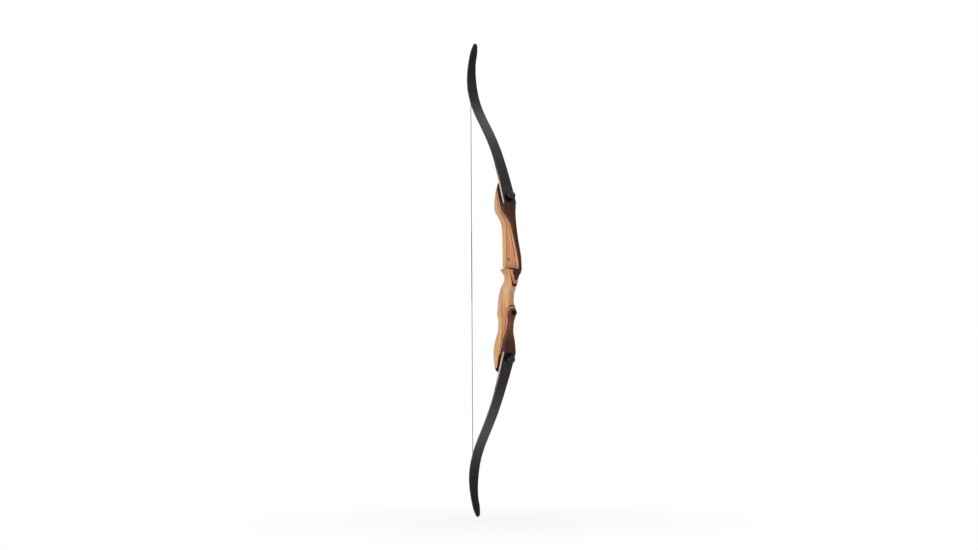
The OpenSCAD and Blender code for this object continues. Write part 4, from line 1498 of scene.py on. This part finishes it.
@dataclass
class Fastening:
    """One limb's hand knob, washer and bolt."""

    limb: Limb
    knob_r: float = 12.5
    knob_h: float = 19.0
    knob_edge: float = 2.2
    flutes: int = 10
    flute_r: float = 3.2
    flute_depth: float = 1.2
    washer_r: float = 16.0
    washer_h: float = 1.6
    washer_hole_r: float = 4.5
    bolt_r: float = 4.0
    bolt_grip: float = 16.0
    head_up: float = 7.0
    head_half: float = 6.4
    pitch: float = 1.25
    thread: float = 0.61
    gap: float = 0.1
    sharp: float = 40.0
    bolt_sharp: float = 50.0

    def place(self, out: float = 0.0) -> Place:
        """Give the bolt's axis, from a point in front of the pad."""
        return self.limb.pad_place(self.limb.bolt_seat, out)

    @property
    def washer_at(self) -> float:
        """Distance of the washer's back from the pad."""
        return self.limb.butt_thick + self.gap

    @property
    def knob_at(self) -> float:
        """Distance of the knob's back from the pad."""
        return self.washer_at + self.washer_h + self.gap

    def knob_profile(self) -> list[Triple]:
        """Give the knob's side, from the middle of its back to the middle of its cap.

        Returns:
            Radii, heights and the share of the flutes' depth there.
        """
        r, h, e = self.knob_r, self.knob_h, self.knob_edge
        side = [(0.0, 0.0, 0.0), (4.2, 0.0, 0.0), (r - 3.2, 0.0, 0.0), (r - 2.6, 0.15, 0.0),
                (r - 2.2, 0.6, 0.0), (r - 2.1, 1.4, 0.0), (r - 2.0, 2.2, 0.2),
                (r - 1.2, 3.0, 0.5), (r - 0.4, 3.7, 0.9), (r, 4.6, 1.0)]
        side += [(r, z, 1.0) for z in np.linspace(5.4, h - 1 - e, 12)]
        side += [(r - e * (1 - math.cos(a)), h - 1 - e * (1 - math.sin(a)),
                  1.0 - 0.85 * (a / (math.pi / 2)) ** 1.5) for a in arc(8, 90, 10)]
        side.append((r - 3.4, h - 0.96, 0.06))
        return side + [(x, h - down, 0.0) for x, down in (
            (r - 5.2, 1.0), (r - 5.5, 1.5), (r - 5.8, 1.6), (r - 6.3, 1.1), (r - 6.8, 0.75),
            (3.6, 0.3), (1.8, 0.08), (0.0, 0.0))]

    def build_knob(self) -> None:
        """Build the fluted knob with its rounded end and its dished cap."""
        sides, pitch = self.flutes * 24, 2 * math.pi / self.flutes
        near = (round_angles(sides) + pitch / 2) % pitch - pitch / 2
        centre = self.knob_r + self.flute_r - self.flute_depth
        inside = np.clip(self.flute_r ** 2 - (centre * np.sin(near)) ** 2, 0, None)
        floor = centre * np.cos(near) - np.sqrt(inside)
        depth = np.clip(np.where(inside > 0, self.knob_r - floor, 0.0), 0, None)
        kernel = np.array([1, 3, 5, 3, 1]) / 13.0
        soft = sum(k * np.roll(depth, i - 2) for i, k in enumerate(kernel))
        rings = [circle(r - soft * share, h, sides) for r, h, share in self.knob_profile()]
        word, place = self.limb.end.word, self.place(self.knob_at)
        knob = Workshop.wrapped(f"{word}_limb_knob_moulded", rings, place)
        Workshop.cut(knob, Workshop.rod(place, self.bolt_r, -1, self.head_up + 0.5))
        Workshop.dressed(knob, KNOB, self.sharp, f"{word}_knob")

    def build_washer(self) -> None:
        """Build the washer with its turned edges."""
        r, h, b = self.washer_r, self.washer_h, self.washer_hole_r
        profile = [(b, 0.25), (b + 0.25, 0), (r - 0.5, 0), (r - 0.15, 0.1), (r, 0.4),
                   (r, h - 0.6), (r - 0.2, h - 0.2), (r - 0.6, h), (r - 3.0, h),
                   (r - 3.2, h - 0.08), (r - 3.4, h - 0.08), (r - 3.6, h), (b + 0.25, h),
                   (b, h - 0.25)]
        word = self.limb.end.word
        piece = Workshop.revolved(f"{word}_limb_washer_turned", profile,
                                  self.place(self.washer_at), 96, True)
        Workshop.dressed(piece, BLACK_OXIDE, self.sharp, f"{word}_washer")

    def build_bolt(self) -> None:
        """Build the bolt with its cut thread and the hexagon head inside the knob."""
        sides, steps, r, depth = 40, 10, self.bolt_r, self.thread * self.pitch
        tip, top = -self.bolt_grip, self.knob_at + self.head_up
        start = tip + 0.8
        lead = [(0.0, tip), (r - depth - 0.3, tip), (r - depth - 0.1, tip + 0.3)]
        rings = [circle(w, h, sides) for w, h in lead]
        for i in range(int((top - 1.0 - tip) / self.pitch * steps) + 1):
            h = start + i * self.pitch / steps
            fade = max(0.0, min(1.0, (h - start) / 1.5, (top - 1.0 - h) / 0.5 + 0.05))
            cut = 1 - tooth((h - start) / self.pitch, sides, 1.25, 2.9) * fade
            rings.append(circle(r - depth * cut, h, sides))
        sixth = math.pi / 3
        hexagon = self.head_half / np.cos((round_angles(sides) + sixth / 2) % sixth - sixth / 2)
        for w, up in ((r - depth, -0.4), (r - 0.5, 0.0), (5.8, 0.2), (6.9, 0.8), (6.9, 4.7),
                      (6.0, 5.2), (0.0, 5.3)):
            rings.append(circle(np.minimum(w, hexagon), top + up, sides))
        word = self.limb.end.word
        bolt = Workshop.wrapped(f"{word}_limb_bolt_threaded", rings, self.place())
        Workshop.dressed(bolt, ZINC, self.bolt_sharp, f"{word}_knob")

    def build(self) -> None:
        """Build all three pieces."""
        self.build_washer()
        self.build_knob()
        self.build_bolt()


@dataclass
class Bushings:
    """The two threaded bushings of the riser."""

    riser: Riser
    bore: float = 3.97
    bevel: float = 0.6
    thread: float = 0.35
    pitch: float = 1.06
    boss_bore: float = 21.0
    boss_lip: float = 0.8
    sharp: float = 40.0

    def threaded(self, name: str, outside: Profile, low: float, high: float, place: Place) -> Obj:
        """Build a turned sleeve with a thread in its bore.

        Args:
            name: Name of the piece.
            outside: Profile of its outer side, from the far end of the bore to the near end.
            low: Far end of the bore.
            high: Near end of the bore.
            place: Its axis.

        Returns:
            The sleeve.
        """
        sides, steps, mouth = 48, 8, self.bore + self.bevel
        rings = [circle(r, h, sides) for r, h in [*outside, (mouth, high)]]
        count = int((high - low - 1.6) / self.pitch * steps)
        for i in range(count + 1):
            h = high - 0.8 - i * self.pitch / steps
            stands = tooth(h / self.pitch, sides, 1.2, 2.8) * min(1.0, i / 6, (count - i) / 6)
            rings.append(circle(self.bore - self.thread * stands, h, sides))
        return Workshop.wrapped(name, rings + [circle(mouth, low, sides)], place, True)

    def build(self) -> None:
        """Build and dress both bushings."""
        riser = self.riser
        low, top, r = riser.past_centre, riser.half_body, riser.plunger_r
        outside = [(r - 0.3, low), (r, low + 0.3), (r, top - 0.5), (r - 0.1, top - 0.3),
                   (r - 0.5, top)]
        place = Place((riser.plunger[0], 0, riser.plunger[1]), (0, 1, 0))
        plunger = self.threaded("plunger_bushing_turned", outside, low, top, place)
        Workshop.dressed(plunger, AGED_BRASS, self.sharp)
        reach, r, rim = riser.boss_reach, riser.boss_r, riser.flange_r
        foot, lip = reach - riser.bushing_length, reach + self.boss_lip
        outside = [(r - 0.6, foot), (r, foot + 0.6), (r, reach - 1), (rim - 0.3, reach - 1),
                   (rim, reach - 0.7), (rim, reach + 0.3), (rim - 0.3, reach + 0.65),
                   (rim - 0.8, lip)]
        place = Place((0, 0, -riser.boss_z), (1, 0, 0))
        boss = self.threaded("stabilizer_bushing_turned", outside, reach - self.boss_bore, lip,
                             place)
        Workshop.dressed(boss, BLACK_OXIDE, self.sharp)


class StrandLayer(Nodes):
    """Geometry Nodes that lay turned strands along a path."""

    def __init__(self) -> None:
        """Start the node tree with its sockets, and wire it."""
        super().__init__(bpy.data.node_groups.new("laid_strands", "GeometryNodeTree"))
        face = self.graph.interface
        self.sockets = {}
        for way in ("INPUT", "OUTPUT"):
            face.new_socket(name="Geometry", in_out=way, socket_type="NodeSocketGeometry")
        for name, kind in (("Strands", "Int"), ("Sides", "Int"), ("Turn Length", "Float"),
                           ("Lay Radius", "Float"), ("Strand Radius", "Float"),
                           ("Step", "Float"), ("Looseness", "Float"), ("Seed", "Int"),
                           ("Finish", "Material")):
            made = face.new_socket(name=name, in_out="INPUT", socket_type="NodeSocket" + kind)
            self.sockets[name] = made.identifier
        self.wire()

    def wire(self) -> None:
        """Wire the tree: resample, copy each strand, turn it round the path, sweep it."""
        put = self.node("NodeGroupInput").outputs
        curve = self.node("GeometryNodeMeshToCurve", {"Mesh": put["Geometry"]}).outputs[0]
        even = self.node("GeometryNodeResampleCurve", {"Curve": curve, "Length": put["Step"]},
                         mode="LENGTH").outputs[0]
        copies = self.node("GeometryNodeDuplicateElements",
                           {"Geometry": even, "Amount": put["Strands"]}, domain="SPLINE").outputs
        index = copies["Duplicate Index"]
        length = self.node("GeometryNodeSplineParameter").outputs["Length"]
        turned = self.calc("ADD", self.calc("DIVIDE", length, put["Turn Length"]),
                           self.calc("DIVIDE", index, put["Strands"]))
        angle = self.product(turned, 2 * math.pi)
        lane = self.calc("ADD", self.product(index, 7.3), put["Seed"])
        at = self.node("ShaderNodeCombineXYZ", {0: self.product(length, 60.0), 1: lane})
        spot = self.node("ShaderNodeTexNoise", {"Vector": at.outputs[0]}, noise_dimensions="2D")
        wander = self.product(self.calc("SUBTRACT", spot.outputs[0], 0.5), put["Looseness"])
        radius = self.calc("ADD", put["Lay Radius"], wander)
        normal = self.node("GeometryNodeInputNormal").outputs[0]
        tangent = self.node("GeometryNodeInputTangent").outputs[0]
        arms = []
        for axis, kind in ((normal, "COSINE"),
                           (self.vector("CROSS_PRODUCT", tangent, normal), "SINE")):
            into = {0: axis, "Scale": self.product(self.calc(kind, angle), radius)}
            arms.append(self.node("ShaderNodeVectorMath", into, operation="SCALE").outputs[0])
        moved = self.node("GeometryNodeSetPosition", {"Geometry": copies["Geometry"],
                                                      "Offset": self.vector("ADD", *arms)})
        ring = self.node("GeometryNodeCurvePrimitiveCircle",
                         {"Resolution": put["Sides"], "Radius": put["Strand Radius"]})
        sweep = self.node("GeometryNodeCurveToMesh",
                          {"Curve": moved.outputs[0], "Profile Curve": ring.outputs[0],
                           "Fill Caps": True})
        real = self.node("GeometryNodeRealizeInstances", {"Geometry": sweep.outputs[0]})
        paint = self.node("GeometryNodeSetMaterial",
                          {"Geometry": real.outputs[0], "Material": put["Finish"]})
        self.node("NodeGroupOutput", {"Geometry": paint.outputs[0]})

    def lay(self, name: str, path: np.ndarray, finish: Finish, **values: float) -> None:
        """Lay strands along a path, turn them into a plain mesh and dress them.

        Args:
            name: Name of the piece.
            path: Points of the path, in millimetres.
            finish: The strands' finish.
            values: The tree's inputs by name, with spaces as underscores.
        """
        edges = [(i, i + 1) for i in range(len(path) - 1)]
        obj = Workshop.piece(name, path, [], edges=edges)
        mod = obj.modifiers.new("strands", "NODES")
        mod.node_group = self.graph
        for key, value in {**values, "Finish": finish.material()}.items():
            mod[self.sockets[key.replace("_", " ")]] = value
        Workshop.applied(obj)
        Workshop.outwards(obj).data.shade_smooth()
        Workshop.dressed(obj, finish)


@dataclass
class StringSet:
    """The bowstring with its centre serving and its two end loops."""

    upper: Limb
    lower: Limb
    string_r: float = 1.0
    gap: float = 0.15
    serving_top: float = 147.0
    serving_bottom: float = -70.0
    loop_r: float = 1.3
    stem: float = 32.0

    def belly(self, limb: Limb, s: float, r: float, y: float = 0.0) -> np.ndarray:
        """Give a point that lies on a limb's belly with its own radius of room."""
        return limb.at(s, limb.face(-1, 0.0, s) - self.gap - r, y)

    def touch(self, limb: Limb) -> float:
        """Give the place where the string first lies on a limb."""
        s = np.arange(limb.curl_taper[0], limb.length - limb.nose_length, 0.5)
        return float(s[int(np.argmin([self.belly(limb, v, self.string_r)[0] for v in s]))])

    def resting(self, limb: Limb) -> np.ndarray:
        """Give the string's path over one recurve, from its first touch outwards."""
        s = np.linspace(self.touch(limb), limb.length - limb.nock_seat - self.stem, 40)
        return np.array([self.belly(limb, v, self.string_r) for v in s])

    def path(self) -> np.ndarray:
        """Give the whole string's path, from the lower join to the upper one."""
        return looped([self.resting(self.lower)[::-1], self.resting(self.upper)], (58, 0))

    def loop_path(self, limb: Limb) -> np.ndarray:
        """Give a loop's path, out to one nock, across the front and back.

        Args:
            limb: The limb that it hangs on.

        Returns:
            Points of a smooth path.
        """
        r, room = self.loop_r, self.loop_r + self.gap
        nock = limb.length - limb.nock_seat
        join = nock - self.stem
        edge = limb.half_width(nock, False) - limb.nock_depth
        back, front = limb.face(-1, 0.0, nock) - room, limb.overlay_out(nock) + room
        half = [self.belly(limb, mix(join + 0.3, nock - 5, t), r,
                           mix(r + 0.1, edge - 0.3, float(ease(t)))) for t in np.linspace(0, 1, 8)]
        half += [limb.at(nock + past, out, y) for out, y, past in (
            (back, edge, -2), (back + 0.45, edge + 1, -1), (back + 1.45, edge + room, 0),
            (front - 1.45, edge + room, 0), (front - 0.45, edge + 1, 0.6), (front, edge, 1.2),
            (front, edge / 2, 2.4))]
        crown = limb.at(nock + 3, front)
        return smooth_path(np.array([*half, crown, *(p * [1, -1, 1] for p in half[::-1])]), 12)

    def build(self) -> None:
        """Build and dress the string, the serving and both loops."""
        layer, path = StrandLayer(), self.path()
        layer.lay("bowstring_twisted", path, STRING_FIBRE, Strands=9, Sides=6, Turn_Length=0.042,
                  Lay_Radius=0.000742, Strand_Radius=0.00027, Step=0.0026, Looseness=0.00006,
                  Seed=3)
        wound = partial(layer.lay, finish=SERVING, Strands=1, Sides=5, Turn_Length=0.00052,
                        Step=0.00005, Looseness=0.00003)
        levels = [self.serving_bottom, self.serving_top]
        ends = np.column_stack([np.interp(levels, path[:, 2], path[:, 0]), [0, 0], levels])
        wound("center_serving_wound", mix(ends[0], ends[1], np.linspace(0, 1, 30)[:, None]),
              Lay_Radius=0.00113, Strand_Radius=0.00027, Seed=5)
        for limb in (self.upper, self.lower):
            wound(f"{limb.end.word}_string_loop_wound", self.loop_path(limb),
                  Lay_Radius=0.00104, Strand_Radius=0.00026, Seed=7)


@dataclass
class Studio:
    """The camera at the photograph's angle, the floor, the lamps and the world."""

    azimuth: float = 55.824199
    elevation: float = -1.67201
    roll: float = -0.31207
    distance: float = 8000.0
    scale: float = 0.321933
    centre: tuple[float, float] = (506.962523, 277.499941)
    shift_x: float = 2.0
    image: tuple[int, int] = (978, 550)
    sensor: float = 36.0
    floor_z: float = -762.0
    floor_half: float = 6000.0
    floor_middle: tuple[float, float] = (-100.0, 0.0)
    dim: float = 0.34

    def camera(self) -> None:
        """Place the camera that the photograph was measured with."""
        a, e, r = (math.radians(v) for v in (self.azimuth, self.elevation, self.roll))
        n = Vector((math.sin(a) * math.cos(e), -math.cos(a) * math.cos(e), math.sin(e)))
        level = Vector((math.cos(a), math.sin(a), 0.0))
        right = level * math.cos(r) + n.cross(level) * math.sin(r)
        up = n.cross(level) * math.cos(r) - level * math.sin(r)
        w, h = self.image
        place = (n * self.distance - right * ((self.centre[0] - w / 2) / self.scale)
                 + up * ((self.centre[1] - h / 2) / self.scale) + Vector((self.shift_x, 0, 0)))
        cam = bpy.data.cameras.new("camera")
        cam.sensor_fit, cam.sensor_width, cam.clip_end = "HORIZONTAL", self.sensor, 60.0
        cam.lens = self.scale * self.distance / w * self.sensor
        obj = Workshop.placed("camera", cam)
        turn = Matrix((right, up, n)).transposed().to_4x4()
        obj.matrix_world = Matrix.Translation(place * MM) @ turn
        bpy.context.scene.camera = obj

    @staticmethod
    def lamp(name: str, place: Triple, power: float, size: float) -> None:
        """Hang a soft square lamp that looks at the bow.

        Args:
            name: Its name.
            place: Where it hangs, in metres.
            power: Its power in watts.
            size: Its side in metres.
        """
        data = bpy.data.lights.new(name, "AREA")
        data.energy, data.size = power, size
        obj = Workshop.placed(name, data)
        obj.location = place
        obj.rotation_euler = (-Vector(place)).to_track_quat("-Z", "Y").to_euler()

    @staticmethod
    def seen(nodes: Nodes) -> Socket:
        """Give one where the camera, a mirror or clear glass looks, and nought for light.

        Args:
            nodes: The tree that asks.

        Returns:
            The socket of the answer.
        """
        rays = nodes.node("ShaderNodeLightPath").outputs
        kinds = [rays[f"Is {kind} Ray"] for kind in ("Camera", "Glossy", "Transmission")]
        return reduce(partial(nodes.calc, "MAXIMUM"), kinds)

    def world(self) -> None:
        """Set a dim world for light and plain white for what the camera and mirrors see."""
        world = bpy.data.worlds.new("studio")
        bpy.context.scene.world = world
        world.use_nodes = True
        nodes = Nodes(world.node_tree)
        lights = [nodes.node("ShaderNodeBackground", {"Color": (1, 1, 1), "Strength": v}).outputs[0]
                  for v in (self.dim, 1.0)]
        nodes.shared(self.seen(nodes), *lights, "World Output")

    def floor(self) -> None:
        """Lay the pale floor that keeps the bow's shadow."""
        far, z = self.floor_half, self.floor_z
        corners = np.array([[-far, -far, z], [far, -far, z], [far, far, z], [-far, far, z]])
        obj = Workshop.piece("floor", corners, [(0, 1, 2, 3)])
        tree = Tree("pale_floor")
        tree.surface(Base_Color=(0.86, 0.86, 0.86), Roughness=0.9)
        glow = tree.node("ShaderNodeEmission", {"Strength": 1.0}).outputs[0]
        at = tree.node("ShaderNodeTexCoord").outputs["Object"]
        away = tree.vector("DISTANCE", at, tuple(v * MM for v in (*self.floor_middle, z)))
        share = tree.product(self.seen(tree), tree.spanned(away, 0.1, 0.9, 0.8, 1.0))
        tree.shared(share, tree.bsdf.outputs[0], glow, "Material Output")
        obj.data.materials.append(tree.mat)

    def build(self) -> None:
        """Set up the whole studio."""
        self.camera()
        self.world()
        self.floor()
        for lamp in (("key", (0.9, -3.1, 1.7), 74.0, 1.5), ("fill", (2.2, -2.4, 0.2), 12.0, 2.2),
                     ("spark", (-0.88, -0.88, -0.5), 1.6, 0.2),
                     ("back", (-0.4, 2.0, 2.5), 17.0, 1.6)):
            self.lamp(*lamp)
        bpy.context.scene.view_settings.view_transform = "Standard"


def dress_kept_nodes(nodes: dict[str, Obj]) -> None:
    """Give the carried-over solids their finishes.

    Args:
        nodes: The frame's node objects by name.
    """
    for end in End:
        for kind, finish in (("limb_insert", BRASS), ("alignment_pin", ZINC)):
            for slot in nodes[f"{end.word}_{kind}"].material_slots:
                slot.material = finish.material()
            LOG.info("%s_%s: kept with %s", end.word, kind, finish.name)


def main() -> None:
    """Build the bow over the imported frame."""
    logging.basicConfig(level=logging.INFO, format="%(name)s: %(message)s")
    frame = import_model()
    Studio().build()
    upper = Limb(End.UPPER, pad_x=14.7, pad_tilt=21.7, mid_tilt=39.5)
    lower = Limb(End.LOWER, pad_x=8.9, pad_tilt=23.6, mid_tilt=36.25)
    riser = Riser()
    riser.build([upper, lower])
    for limb in (upper, lower):
        limb.build()
        Fastening(limb).build()
    Bushings(riser).build()
    StringSet(upper, lower).build()
    dress_kept_nodes(frame["nodes"])


if __name__ == "__main__":
    main()
